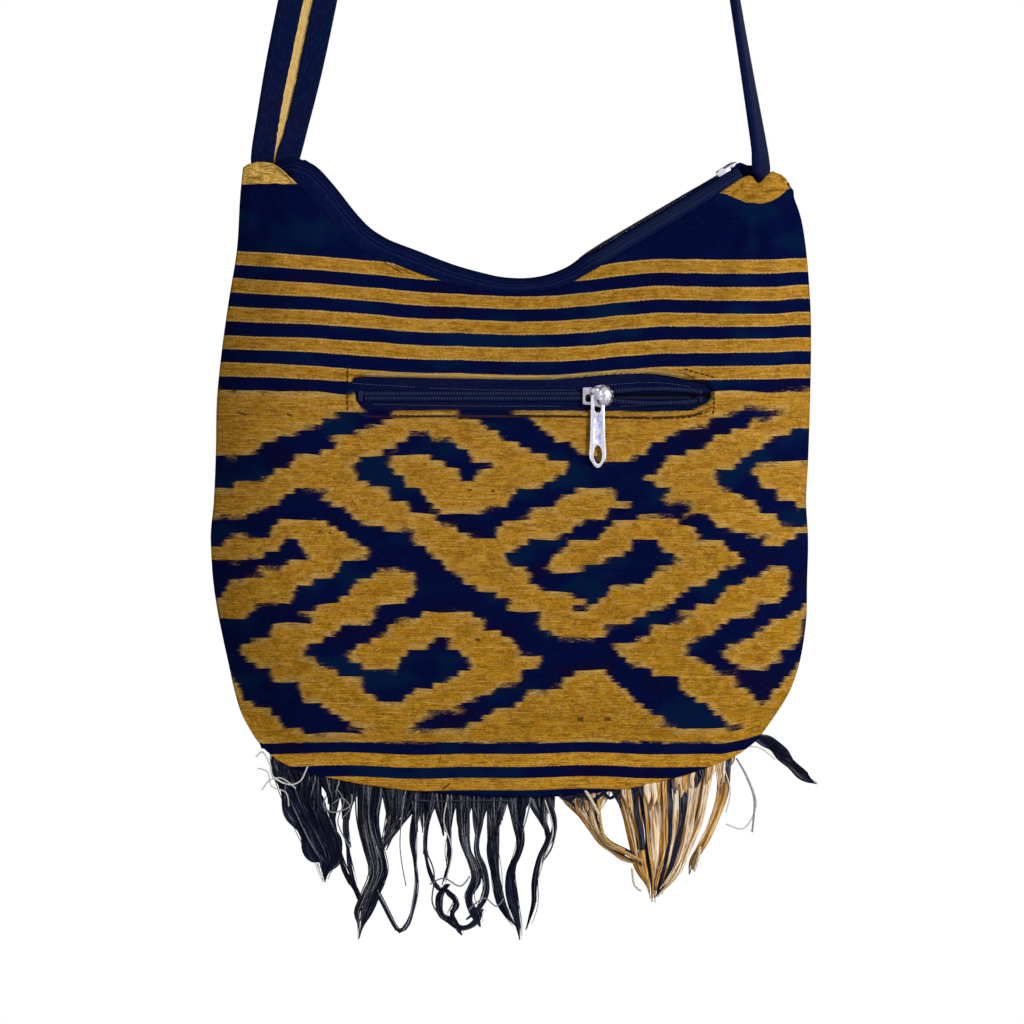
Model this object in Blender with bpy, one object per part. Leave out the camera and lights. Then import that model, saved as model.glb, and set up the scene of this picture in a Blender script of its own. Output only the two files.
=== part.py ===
"""A woven sling bag that hangs by its strap: two cloth panels, a curved top zip, a pocket zip and a fringe.

Lengths are in millimetres until make_node turns them into metres. Two sets of heights are used: the bag's own,
counted from the middle of its bottom seam, and the row frame's, whose origin is under the crest of the strap.
Outlines are written on the grid that at() reads, 0.45 mm a step, counted from the left and from the top.
"""

import math

import bmesh
import bpy
from mathutils import Matrix, Vector

GRID = 0.45
GRID_MIDDLE = 511.5
GRID_BASE = 797.0


def height(row):
    """The bag's z of a row of the grid."""
    return (GRID_BASE - row) * GRID


def across(column):
    """The bag's x of a column of the grid."""
    return (column - GRID_MIDDLE) * GRID


def at(column, row):
    """The bag's x and z of a point of the grid."""
    return (across(column), height(row))


CLOTH = 1.2
GAP = 0.3
HALF_DEPTH = 18.0
SEAM_DEPTH = 1.35
BOTTOM_SEAM_EXTRA = 0.85
FLAT_SHARE = 0.68
BELLY_HEIGHT = 65.0
NECK_START = height(352.5)
PANEL_ROWS = 14

STRAP_WIDTH = 26.0
STRAP_THICK = 3.2
FRONT_NOTCH = across(757.3)
BACK_NOTCH = across(763.5)
NOTCH_Z = height(183.2)
STRAP_FOOT_X = (FRONT_NOTCH + BACK_NOTCH) / 2
STRAP_LEFT_X = across(275.0)
CREST_X = across(544.4)
STRAP_RISE = 564.8
CREST_Z = NOTCH_Z + STRAP_RISE
CREST_RADIUS = 10.0

TAPE = 0.6
COIL_TOP = -0.1
COIL_UNDER = -1.2
TAPE_TOP = -1.5
TAPE_INNER = 1.1
COIL_HALF = 2.1
PLATE_UNDER = 0.2
PLATE_TOP = 1.3
BACK_TOP = -2.4
BACK_UNDER = -3.4

SLIT_Z = height(397.0)
SLIT_LEFT = across(350.0)
SLIT_RIGHT = across(712.0)
POCKET_SLIDER_X = across(597.0)
COIL_LEFT = SLIT_LEFT + 6.9
COIL_RIGHT = SLIT_RIGHT - 7.2
COIL_RIDGES = 30
POCKET_PULL_LIFT = 0.2
POCKET_PULL_OUT = 2.2

RISE = math.radians(31.0)
MAIN_START_X = across(584.8)
MAIN_START_Z = height(253.65)
SLIDER_REACH = 72.3
MAIN_SLIDER_X = MAIN_START_X + SLIDER_REACH * math.cos(RISE)
MAIN_PULL_DROOP = 31.0
MAIN_PULL_BACK = 1.0
MAIN_PULL_OUT = 3.2
BRIDGE_WIDTH = 2.2
BRIDGE_THICK = 0.8

SADDLE_TURN = math.radians(20.0)
SHARP_FROM = math.radians(40.0)
FRAME_TOP = CREST_Z - CREST_RADIUS + (CREST_RADIUS - STRAP_THICK / 2) * math.cos(SADDLE_TURN)

NAVY = (0.006, 0.010, 0.045)
BLACK = (0.006, 0.006, 0.010)
OCHRE = (0.42, 0.25, 0.06)
BEIGE = (0.46, 0.38, 0.27)
STEEL = (0.62, 0.63, 0.68)


def smooth(share):
    share = min(max(share, 0.0), 1.0)
    return share * share * (3.0 - 2.0 * share)


def through(points, value, key=0, other=1):
    """The other coordinate where a list of points, sorted by its key coordinate, reaches a value."""
    if value <= points[0][key]:
        return points[0][other]
    for first, second in zip(points, points[1:]):
        if value <= second[key]:
            share = (value - first[key]) / (second[key] - first[key])
            return first[other] + share * (second[other] - first[other])
    return points[-1][other]


def rounded(points, steps):
    """A smooth line through the points: Catmull-Rom, with so many steps between neighbours."""
    ends = [points[0], *points, points[-1]]
    line = []
    for i in range(1, len(ends) - 2):
        a, b, c, d = (Vector(ends[i + k]) for k in (-1, 0, 1, 2))
        for step in range(steps):
            t = step / steps
            line.append(
                0.5 * ((2 * b) + (c - a) * t + (2 * a - 5 * b + 4 * c - d) * t**2
                       + (3 * b - a - 3 * c + d) * t**3)
            )
    line.append(Vector(points[-1]))
    return line


LEFT_EDGE = [at(*p) for p in (
    (262, 745), (255, 738), (240, 715), (228, 680), (220, 640), (214, 600), (212, 550), (213, 500), (215, 450),
    (217, 400), (222, 350), (229, 300), (237, 250), (240, 200), (243, 168))]
RIGHT_EDGE = [at(*p) for p in (
    (757, 740), (775, 715), (790, 690), (800, 660), (806, 620), (807, 580), (808, 540), (806, 500), (808, 460),
    (810, 400), (811, 340), (810, 300), (806, 250), (800, 215), (789, 187))]
BOTTOM_EDGE = [at(*p) for p in (
    (262, 745), (268, 752), (280, 761), (300, 770), (340, 780), (390, 788), (450, 794), (500, 797), (545, 797),
    (590, 793), (630, 788), (665, 780), (700, 770), (735, 756), (757, 740))]
TOP_LEFT = [at(*p) for p in (
    (243, 168), (250, 164), (264, 162.5), (277, 166.5), (298, 185), (316, 204), (332, 223), (348, 239.5),
    (368, 253), (392, 263.5), (424, 276), (460, 286), (500, 292.5), (532, 292.5), (562, 287.5), (584, 276),
    (616, 257.5), (650, 237.5), (684, 217), (714, 197.5), (738, 181))]
NOTCH = [(-3.2, 2.9), (0.0, -0.6), (3.7, 2.8), (6.6, 4.9), (10.4, 2.2)]
SLIT_WINDOW = [at(*p) for p in (
    (352, 381), (358, 377), (400, 377.5), (450, 378.6), (520, 380), (560, 379), (600, 375.5), (640, 373.5),
    (665, 375.5), (688, 380), (702, 383), (709, 388), (711, 394), (708, 401), (700, 405.5), (690, 409), (660, 411),
    (600, 410.5), (520, 410), (440, 409.8), (390, 410.5), (365, 409), (358.5, 402), (356, 393), (352, 387))]
CREST_LINE = [at(*p) for p in (
    (303, 160.5), (311, 163.5), (320, 170), (330, 181), (340, 193), (350, 206), (360, 218), (370, 228), (380, 235),
    (390, 240.5), (400, 244.5), (420, 252), (440, 260), (460, 267), (480, 272.5), (500, 277), (520, 278.5),
    (538, 277), (554, 273), (568, 267))]

TOP_DEPTH = [(across(column), out) for column, out in (
    (242.6, 1.35), (249.7, 3.3), (267.1, 4.6), (284.8, 6.8), (307.1, 7.6), (344.8, 7.6), (733.7, 7.9),
    (774.2, 8.1), (788.4, 1.35))]


def top_edge(notch_x):
    """The top edge of a panel, from its left corner to its right, with the notch that the strap leaves by."""
    return TOP_LEFT + [(notch_x + x, NOTCH_Z + z) for x, z in NOTCH] + [RIGHT_EDGE[-1]]


FRONT_TOP = top_edge(FRONT_NOTCH)
BACK_TOP_EDGE = top_edge(BACK_NOTCH)


def depth(x, z):
    """How far the outside of a panel stands from the bag's middle plane."""
    left = through(LEFT_EDGE, z, 1, 0)
    right = through(RIGHT_EDGE, z, 1, 0)
    low = through(BOTTOM_EDGE, x)
    high = through(FRONT_TOP, x)
    share = min(abs((2 * x - left - right) / (right - left)), 1.0)
    beyond = max(share - FLAT_SHARE, 0.0) / (1.0 - FLAT_SHARE)
    rise = min(max((z - low) / BELLY_HEIGHT, 0.0), 1.0)
    seam = SEAM_DEPTH + BOTTOM_SEAM_EXTRA * max(0.0, 1.0 - (z - low) / 25.0)
    body = seam + (HALF_DEPTH - seam) * (1.0 - beyond**2) * (1.0 - (1.0 - rise) ** 2)
    neck = smooth((z - NECK_START) / max(high - NECK_START, 1.0))
    return body * (1.0 - neck) + through(TOP_DEPTH, x) * neck


def material(name, colour, metallic, roughness):
    made = bpy.data.materials.new(name)
    made.use_nodes = True
    shader = made.node_tree.nodes["Principled BSDF"]
    shader.inputs["Base Color"].default_value = (*colour, 1.0)
    shader.inputs["Metallic"].default_value = metallic
    shader.inputs["Roughness"].default_value = roughness
    return made


def mesh_object(name, points, faces):
    """An object from points in millimetres; its faces are turned outwards."""
    mesh = bpy.data.meshes.new(name)
    mesh.from_pydata([tuple(p) for p in points], [], faces)
    shape = bmesh.new()
    shape.from_mesh(mesh)
    bmesh.ops.recalc_face_normals(shape, faces=shape.faces)
    if shape.calc_volume(signed=True) < 0:
        bmesh.ops.reverse_faces(shape, faces=shape.faces)
    shape.to_mesh(mesh)
    shape.free()
    made = bpy.data.objects.new(name, mesh)
    bpy.context.scene.collection.objects.link(made)
    return made


def combine(base, others, operation="UNION"):
    """The base joined with, or cut by, the others, which are removed."""
    for other in others:
        modifier = base.modifiers.new("join", "BOOLEAN")
        modifier.object = other
        modifier.operation = operation
        modifier.solver = "EXACT"
        graph = bpy.context.evaluated_depsgraph_get()
        mesh = bpy.data.meshes.new_from_object(base.evaluated_get(graph))
        base.modifiers.clear()
        base.data = mesh
        bpy.data.objects.remove(other)
    return base


def make_node(made, name, colour, metallic=0.0, roughness=0.85, pivot=None):
    """Names the object, gives it its material and takes it to metres and to the row frame.

    A moving piece is given its pivot, a point on its joint's axis, where its origin then is.
    """
    made.name = name
    made.data.name = name
    made.data.materials.clear()
    made.data.materials.append(material(name, colour, metallic, roughness))
    to_row = Matrix.Diagonal((0.001, 0.001, 0.001, 1.0)) @ Matrix.Translation((-CREST_X, 0, -FRAME_TOP))
    made.data.transform(to_row)
    made.data.shade_smooth()
    made.data.set_sharp_from_angle(angle=SHARP_FROM)
    if pivot is not None:
        made.location = to_row @ pivot
        made.data.transform(Matrix.Translation(-made.location))
    return made


def grid_shell(name, outer, inner):
    """A closed shell from two grids of points, each a list of rows."""
    rows, columns = len(outer), len(outer[0])
    points = [p for row in outer for p in row] + [p for row in inner for p in row]
    shift = rows * columns

    def index(row, column, layer=0):
        return layer * shift + row * columns + column

    faces = []
    for r in range(rows - 1):
        for c in range(columns - 1):
            faces.append((index(r, c), index(r, c + 1), index(r + 1, c + 1), index(r + 1, c)))
            faces.append((index(r, c, 1), index(r + 1, c, 1), index(r + 1, c + 1, 1), index(r, c + 1, 1)))
    rim = [(0, c) for c in range(columns)] + [(r, columns - 1) for r in range(1, rows)]
    rim += [(rows - 1, c) for c in range(columns - 2, -1, -1)] + [(r, 0) for r in range(rows - 2, 0, -1)]
    for first, second in zip(rim, rim[1:] + rim[:1]):
        faces.append((index(*first), index(*second), index(*second, 1), index(*first, 1)))
    return mesh_object(name, points, faces)


def tube(name, rings):
    """A closed body from rings of as many points each, capped at both ends."""
    sides = len(rings[0])
    points = [p for ring in rings for p in ring]
    faces = [tuple(range(sides)), tuple(range(len(points) - sides, len(points)))]
    for r in range(len(rings) - 1):
        for s in range(sides):
            after = (s + 1) % sides
            faces.append((r * sides + s, r * sides + after, (r + 1) * sides + after, (r + 1) * sides + s))
    return mesh_object(name, points, faces)


def pouch(name, rows, wall):
    """An open-topped bag from rows, bottom first: each is a list of x, front y, back y and z."""
    outer, inner = [], []
    for level, row in enumerate(rows):
        front = [(x, y, z) for x, y, _, z, _ in row]
        back = [(x, y, z) for x, _, y, _, z in reversed(row)]
        outer.append(front + back)
        lift = wall * 2 if level == 0 else 0.0
        middle = (row[0][0] + row[-1][0]) / 2
        half = (row[-1][0] - row[0][0]) / 2
        narrow = (half - wall * 2) / half
        inner.append(
            [(middle + (x - middle) * narrow, y + wall, z + lift) for x, y, _, z, _ in row]
            + [(middle + (x - middle) * narrow, y - wall, z + lift) for x, _, y, _, z in reversed(row)]
        )
    columns = len(outer[0])
    points = [p for ring in outer for p in ring] + [p for ring in inner for p in ring]
    shift = len(outer) * columns
    faces = []
    for layer in (0, 1):
        for r in range(len(outer) - 1):
            for c in range(columns):
                after = (c + 1) % columns
                base = layer * shift
                faces.append((base + r * columns + c, base + r * columns + after,
                              base + (r + 1) * columns + after, base + (r + 1) * columns + c))
        half = columns // 2
        for c in range(half - 1):
            faces.append((layer * shift + c, layer * shift + c + 1,
                          layer * shift + columns - 2 - c, layer * shift + columns - 1 - c))
    last = (len(outer) - 1) * columns
    for c in range(columns):
        after = (c + 1) % columns
        faces.append((last + c, last + after, shift + last + after, shift + last + c))
    return mesh_object(name, points, faces)


def box(name, low, high):
    points = [(x, y, z) for z in (low[2], high[2]) for y in (low[1], high[1]) for x in (low[0], high[0])]
    faces = [(0, 1, 3, 2), (4, 6, 7, 5), (0, 4, 5, 1), (2, 3, 7, 6), (0, 2, 6, 4), (1, 5, 7, 3)]
    return mesh_object(name, points, faces)


def prism(name, outline, low, high):
    """A flat shape: the outline in its own plane, from the low level to the high one."""
    count = len(outline)
    points = [(x, y, low) for x, y in outline] + [(x, y, high) for x, y in outline]
    faces = [tuple(range(count)), tuple(range(count, 2 * count))]
    faces += [(i, (i + 1) % count, count + (i + 1) % count, count + i) for i in range(count)]
    return mesh_object(name, points, faces)


def placed(made, origin, along, hang, out):
    """Turns an object from its own along, hang and out axes into the bag's."""
    matrix = Matrix.Identity(4)
    for column, axis in enumerate((along, hang, out)):
        matrix.col[column][:3] = axis
    made.data.transform(Matrix.Translation(origin) @ matrix)
    shape = bmesh.new()
    shape.from_mesh(made.data)
    if shape.calc_volume(signed=True) < 0:
        bmesh.ops.reverse_faces(shape, faces=shape.faces)
    shape.to_mesh(made.data)
    shape.free()
    return made


def panel(name, side, top, colour):
    """One cloth panel; side is -1 for the front and 1 for the back."""
    columns = [p[0] for p in top]
    left_x, right_x = columns[0], columns[-1]
    outer, inner = [], []
    for row in range(PANEL_ROWS + 1):
        up = row / PANEL_ROWS
        up = up * (1.0 - 0.12 * math.sin(2 * math.pi * up) / up) if up else 0.0
        left = edge_point(LEFT_EDGE, up)
        right = edge_point(RIGHT_EDGE, up)
        low_left, high_left = LEFT_EDGE[0], LEFT_EDGE[-1]
        low_right, high_right = RIGHT_EDGE[0], RIGHT_EDGE[-1]
        outer_row, inner_row = [], []
        for column, (top_x, top_z) in enumerate(top):
            share = (top_x - left_x) / (right_x - left_x)
            low_x = low_left[0] + share * (low_right[0] - low_left[0])
            low_z = through(BOTTOM_EDGE, low_x)
            x = (1 - share) * left[0] + share * right[0] + (1 - up) * low_x + up * top_x
            x -= ((1 - share) * ((1 - up) * low_left[0] + up * high_left[0])
                  + share * ((1 - up) * low_right[0] + up * high_right[0]))
            z = (1 - share) * left[1] + share * right[1] + (1 - up) * low_z + up * top_z
            z -= ((1 - share) * ((1 - up) * low_left[1] + up * high_left[1])
                  + share * ((1 - up) * low_right[1] + up * high_right[1]))
            out = depth(x, z)
            if column in (0, len(top) - 1):
                out = SEAM_DEPTH + BOTTOM_SEAM_EXTRA * max(0.0, 1.0 - row / 2)
            outer_row.append((x, side * out, z))
            inner_row.append((x, side * (out - CLOTH), z))
        outer.append(outer_row)
        inner.append(inner_row)
    made = grid_shell(name, outer, inner)
    if side < 0:
        cutter = prism("window", SLIT_WINDOW, 0.0, HALF_DEPTH)
        placed(cutter, Vector((0, -HALF_DEPTH - 4.0, 0)), Vector((1, 0, 0)), Vector((0, 0, 1)), Vector((0, 1, 0)))
        combine(made, [cutter], "DIFFERENCE")
    return make_node(made, name, colour)


def edge_point(edge, share):
    """The point a share of the way along an edge, by its length."""
    line = rounded(edge, 4)
    lengths = [0.0]
    for first, second in zip(line, line[1:]):
        lengths.append(lengths[-1] + (second - first).length)
    goal = share * lengths[-1]
    for i in range(1, len(line)):
        if goal <= lengths[i] + 1e-9:
            part = (goal - lengths[i - 1]) / (lengths[i] - lengths[i - 1])
            return line[i - 1].lerp(line[i], part)
    return line[-1]


def lining():
    """The inner bag, held clear of the panels, the tapes and the pocket."""
    rows = []
    count = 9
    for level in range(count + 1):
        share = level / count
        row = []
        for column in range(13):
            side = column / 12
            x_low = across(289.3 + 444.4 * side)
            x_high = across(287.0 + 440.0 * side)
            x = x_low + (x_high - x_low) * share
            low = through(BOTTOM_EDGE, x) + 11.5
            high = min(through(FRONT_TOP, x) - 7.5, height(241.5))
            bulge = 19.0 * math.sin(math.pi * min(share * 1.25, 1.0) ** 0.8) if share < 1 else 0.0
            x += (2 * side - 1) * bulge
            z = low + (high - low) * share
            neck = smooth((z - NECK_START) / max(through(FRONT_TOP, x) - NECK_START, 1.0))
            out = max(depth(x, z) - 5.0 + 2.3 * neck, 0.9)
            if column in (0, 12) or level == 0:
                out = 0.9
            row.append((x, -out, out, z, z))
        rows.append(row)
    return make_node(pouch("lining", rows, 0.6), "lining", BEIGE)


def pocket_bag():
    """The cloth pocket behind the slit: its front wall ends under the slit and its back wall above it."""
    rows = []
    for level in range(6):
        share = level / 5
        row = []
        for column in range(10):
            x = SLIT_LEFT - 7.3 + (SLIT_RIGHT - SLIT_LEFT + 13.1) * column / 9
            floor = SLIT_Z - 108.0
            front_z = floor + (SLIT_Z - 8.0 - floor) * share
            back_z = floor + (SLIT_Z + 15.5 - floor) * share
            row.append((x, -(depth(x, front_z) - 2.45), -(depth(x, back_z) - 4.5), front_z, back_z))
        rows.append(row)
    return make_node(pouch("pocket_bag", rows, 0.5), "pocket_bag", BEIGE)


def ring(centre, across, out, half_width, half_thick):
    """Eight points round a flat strip whose long sides are slightly bowed."""
    shape = ((-1.0, -0.55), (-0.6, -1.0), (0.6, -1.0), (1.0, -0.55), (1.0, 0.55), (0.6, 1.0), (-0.6, 1.0), (-1.0, 0.55))
    return [centre + across * (a * half_width) + out * (b * half_thick) for a, b in shape]


def strap():
    """One band from the left corner, over the crest, to the right corner, where it stands edge-on."""
    stations = [(STRAP_LEFT_X + x, NOTCH_Z + up, 90, width, thick) for x, up, width, thick in (
        (-4.2, -14.2, 11.0, 2.4), (-3.2, -5.2, 14.0, 2.8), (-0.5, 5.3, 20.0, 3.0),
        (0.1, 11.8, 22.0, STRAP_THICK), (3.2, 26.8, 23.6, STRAP_THICK))]
    left_base = Vector((STRAP_LEFT_X, NOTCH_Z + 10.4))
    left_top = Vector((CREST_X - CREST_RADIUS, CREST_Z - CREST_RADIUS))
    for share, angle in ((0.09, 90), (0.2, 88), (0.32, 80), (0.44, 66), (0.56, 48), (0.68, 30), (0.8, 14), (0.9, 5)):
        spot = left_base.lerp(left_top, share)
        stations.append((spot.x, spot.y, angle, STRAP_WIDTH, STRAP_THICK))
    for degrees in (-90, -62, -20, 20, 62, 90):
        turn = math.radians(degrees)
        stations.append((CREST_X + CREST_RADIUS * math.sin(turn),
                         CREST_Z - CREST_RADIUS + CREST_RADIUS * math.cos(turn), 0, STRAP_WIDTH, STRAP_THICK))
    right_base = Vector((STRAP_FOOT_X + 0.4, NOTCH_Z + 8.8))
    right_top = Vector((CREST_X + CREST_RADIUS, CREST_Z - CREST_RADIUS))
    for share, angle in ((0.15, 1), (0.4, 3), (0.7, 5), (0.88, 8)):
        spot = right_top.lerp(right_base, share)
        stations.append((spot.x, spot.y, angle, STRAP_WIDTH, STRAP_THICK))
    stations += [(STRAP_FOOT_X + x, NOTCH_Z + up, turn, width, thick) for x, up, turn, width, thick in (
        (-1.1, 19.8, 11, 24.0, STRAP_THICK), (0.2, 7.8, 12, 22.0, STRAP_THICK),
        (0.4, 4.2, 12, 20.0, STRAP_THICK), (0.5, 1.4, 12, 11.6, 2.8), (0.5, -12.2, 12, 10.6, 2.6))]
    centres = [Vector((x, 0.0, z)) for x, z, *_ in stations]
    rings = []
    for i, (x, z, angle, width, thick) in enumerate(stations):
        before, after = centres[max(i - 1, 0)], centres[min(i + 1, len(centres) - 1)]
        tangent = (after - before).normalized()
        turn = math.radians(angle)
        across = Vector((math.sin(turn), math.cos(turn), 0.0))
        across = (across - tangent * across.dot(tangent)).normalized()
        out = tangent.cross(across)
        rings.append(ring(centres[i], across, out, width / 2, thick / 2))
    return make_node(tube("strap", rings), "strap", NAVY)


def crest_stations():
    """Points along the top zip, each with its tangent, outward normal and distance to the panels' edge."""
    line = rounded(CREST_LINE, 1)
    end = Vector((MAIN_START_X, MAIN_START_Z))
    line = [p for p in line if p.x < MAIN_START_X - 4]
    straight = [end + Vector((math.cos(RISE), math.sin(RISE))) * step
                for step in [i * 9.0 for i in range(8)] + [SLIDER_REACH - 1.8, SLIDER_REACH + 1.1, SLIDER_REACH + 6.2]]
    line += straight
    edge = rounded(TOP_LEFT, 4)
    stations = []
    for i, point in enumerate(line):
        before, after = line[max(i - 1, 0)], line[min(i + 1, len(line) - 1)]
        tangent = (after - before).normalized()
        normal = Vector((-tangent.y, tangent.x))
        drop = min((point - e).length for e in edge)
        stations.append((point, tangent, normal, min(max(drop, 6.0), 11.0)))
    return stations


def sweep(name, stations, section):
    """A strip along the top zip: section gives, for a station and its number, points as y and height."""
    rings = []
    for i, (point, _, normal, drop) in enumerate(stations):
        rings.append([
            Vector((point.x + normal.x * up, y, point.y + normal.y * up)) for y, up in section(i, drop, point.x)
        ])
    return tube(name, rings)


def main_tape(name, side, stations):
    def section(_, drop, x):
        reach = (through(TOP_DEPTH, x - 5.0) - 1.5) / 6.1
        low = -drop - 3.2
        outside = [(1.1, -1.5), (3.8, -1.5), (5.2 * reach, -3.6), (6.0 * reach, -drop), (6.05 * reach, low)]
        inside = [(5.5 * reach, low), (5.45 * reach, -drop), (4.6 * reach, -3.9), (3.4, -2.1), (1.1, -2.1)]
        return [(side * y, up) for y, up in outside + inside]

    return make_node(sweep(name, stations, section), name, NAVY)


def main_coil(name, side, stations):
    def section(_, __, x):
        closed = x < MAIN_SLIDER_X
        apart, wide = (0.12, COIL_HALF - 0.1) if closed else (0.95, 1.5)
        return [(side * y, up) for y, up in (
            (apart, COIL_UNDER), (apart, -0.45), (apart + 0.5, COIL_TOP), (apart + wide - 0.6, COIL_TOP),
            (apart + wide, -0.5), (apart + wide, COIL_UNDER))]

    return make_node(sweep(name, stations, section), name, BLACK)


def slider_body(name, outline, flange_in, flange_out, half_length, post, bridge):
    """A zip slider in its own axes: along its travel, the way its tab hangs, and outwards from the coil.

    The bridge, which stands across the travel, is given as where it starts and ends and its top.
    """
    made = prism(name, outline, PLATE_UNDER, PLATE_TOP)
    back = [(x, y * 0.86) for x, y in outline]
    others = [prism("back", back, BACK_UNDER, BACK_TOP),
              box("post", (post[0], -0.6, BACK_UNDER + 0.4), (post[1], 0.6, PLATE_TOP - 0.4))]
    for side in (-1, 1):
        low, high = sorted((side * flange_in, side * flange_out))
        others.append(box("flange", (-half_length, low, COIL_UNDER), (-half_length * 0.1, high, PLATE_TOP - 0.3)))
    near, far, top = bridge
    half = BRIDGE_WIDTH / 2
    for low in (near, far - BRIDGE_THICK):
        others.append(box("leg", (-half, low, PLATE_TOP - 0.4), (half, low + BRIDGE_THICK, top - 0.2)))
    others.append(box("bar", (-half + 0.04, near + 0.05, top - BRIDGE_THICK), (half - 0.04, far - 0.05, top)))
    return combine(made, others)


def tab(name, length, widest):
    """A zip tab hanging from the origin, which is the middle of its end bar: along, hang, out."""
    outline = [(-2.9, 0.9), (-2.5, 0.0), (-1.6, -0.5), (1.6, -0.5), (2.5, 0.0), (2.9, 0.9), (3.0, 6.0),
               (3.3, length * 0.6), (widest / 2, length * 0.82), (widest / 2 - 0.3, length * 0.88),
               (1.6, length - 0.9), (0.6, length), (-0.6, length), (-1.6, length - 0.9),
               (-widest / 2 + 0.3, length * 0.88), (-widest / 2, length * 0.82), (-3.3, length * 0.6), (-3.0, 6.0)]
    made = prism(name, outline, -0.4, 0.4)
    slot = [(-1.5, 0.5), (1.5, 0.5), (1.5, 6.6), (0.9, 7.6), (-0.9, 7.6), (-1.5, 6.6)]
    hole = [(1.75 * math.sin(i * math.pi / 5), length * 0.86 + 3.6 * math.cos(i * math.pi / 5)) for i in range(10)]
    ridge = [(-1.9, 9.2), (1.9, 9.2), (1.9, length * 0.66), (-1.9, length * 0.66)]
    cutters = [prism("slot", slot, -1.0, 1.0), prism("hole", [(x, y - length * 0.06) for x, y in hole], -1.0, 1.0),
               prism("recess", ridge, 0.2, 1.0)]
    return combine(made, cutters, "DIFFERENCE")


def pocket_zip():
    """Tapes, coils, stops, slider and pull of the zip in the front panel."""
    front = -HALF_DEPTH
    for name, side in (("pocket_tape_upper", 1), ("pocket_tape_lower", -1)):
        rings = []
        wide, dip = (13.0, 0.45) if side > 0 else (9.8, 0.0)
        for share in (-0.04, 0.08, 0.26, 0.45, 0.63, 0.81, 0.94, 0.985, 1.03):
            x = SLIT_LEFT + share * (SLIT_RIGHT - SLIT_LEFT)
            rings.append([
                Vector((x, -depth(x, SLIT_Z) - w, SLIT_Z + side * v))
                for v, w in ((TAPE_INNER, TAPE_TOP), (wide, TAPE_TOP - dip), (wide, TAPE_TOP - TAPE - dip),
                             (TAPE_INNER, TAPE_TOP - TAPE))
            ])
        make_node(tube(name, rings), name, NAVY)
    for name, side in (("pocket_coil_upper", 1), ("pocket_coil_lower", -1)):
        rings = []
        for i in range(2 * COIL_RIDGES + 1):
            x = COIL_LEFT + i * (COIL_RIGHT - COIL_LEFT) / (2 * COIL_RIDGES)
            past = x - POCKET_SLIDER_X
            apart = 0.12 + 0.85 * smooth((past - 0.4) / 2.2)
            if past > 6.5:
                apart += 1.3 * math.sin(math.pi * min((past - 6.5) / 40.0, 1.0)) ** 0.8
            top = COIL_TOP if i % 2 else COIL_TOP - 0.35
            wide = COIL_HALF if i % 2 else COIL_HALF - 0.25
            rings.append([
                Vector((x, front - w, SLIT_Z + side * v))
                for v, w in ((apart, COIL_UNDER), (apart, top - 0.3), (apart + 0.7, top),
                             (apart + wide - 0.1, top - 0.3), (apart + wide - 0.1, COIL_UNDER))
            ])
        make_node(tube(name, rings), name, BLACK)
    stop = box("stop", (COIL_LEFT - 2.8, front - 0.5, SLIT_Z - 2.4), (COIL_LEFT - 0.6, front + 1.2, SLIT_Z + 2.4))
    make_node(stop, "pocket_bottom_stop", STEEL, 1.0, 0.35)
    for name, side in (("pocket_top_stop_upper", 1), ("pocket_top_stop_lower", -1)):
        low, high = sorted((SLIT_Z + side * 0.7, SLIT_Z + side * 2.9))
        made = box(name, (COIL_RIGHT + 0.6, front - 0.3, low), (COIL_RIGHT + 2.2, front + 1.2, high))
        make_node(made, name, STEEL, 1.0, 0.35)
    outline = [(-6.6, -3.4), (-6.2, -3.8), (-2.2, -3.9), (-0.6, -4.6), (1.2, -5.0), (3.2, -4.9), (5.2, -4.0),
               (6.6, -2.2), (7.0, 0.0), (6.6, 2.2), (5.2, 4.0), (3.2, 4.9), (1.2, 5.0), (-0.6, 4.6), (-2.2, 3.9),
               (-6.2, 3.8), (-6.6, 3.4)]
    body = slider_body("body", outline, 3.0, 3.8, 6.2, (2.9, 5.4), (-2.6, 1.6, 4.0))
    dome = [(3.6, -3.5), (4.7, -3.2), (5.8, -1.8), (6.2, 0.0), (5.8, 1.8), (4.7, 3.2), (3.6, 3.5)]
    combine(body, [prism("dome", dome, PLATE_TOP - 0.4, PLATE_TOP + 1.0)])
    axes = (Vector((1, 0, 0)), Vector((0, 0, -1)), Vector((0, -1, 0)))
    spot = Vector((POCKET_SLIDER_X, front, SLIT_Z))
    placed(body, spot, *axes)
    make_node(body, "pocket_slider", STEEL, 1.0, 0.3, spot)
    pull = tab("pull", 32.2, 7.6)
    hinge = spot + Vector((0, -POCKET_PULL_OUT, POCKET_PULL_LIFT))
    placed(pull, hinge, *axes)
    make_node(pull, "pocket_pull", STEEL, 1.0, 0.3, hinge)


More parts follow.
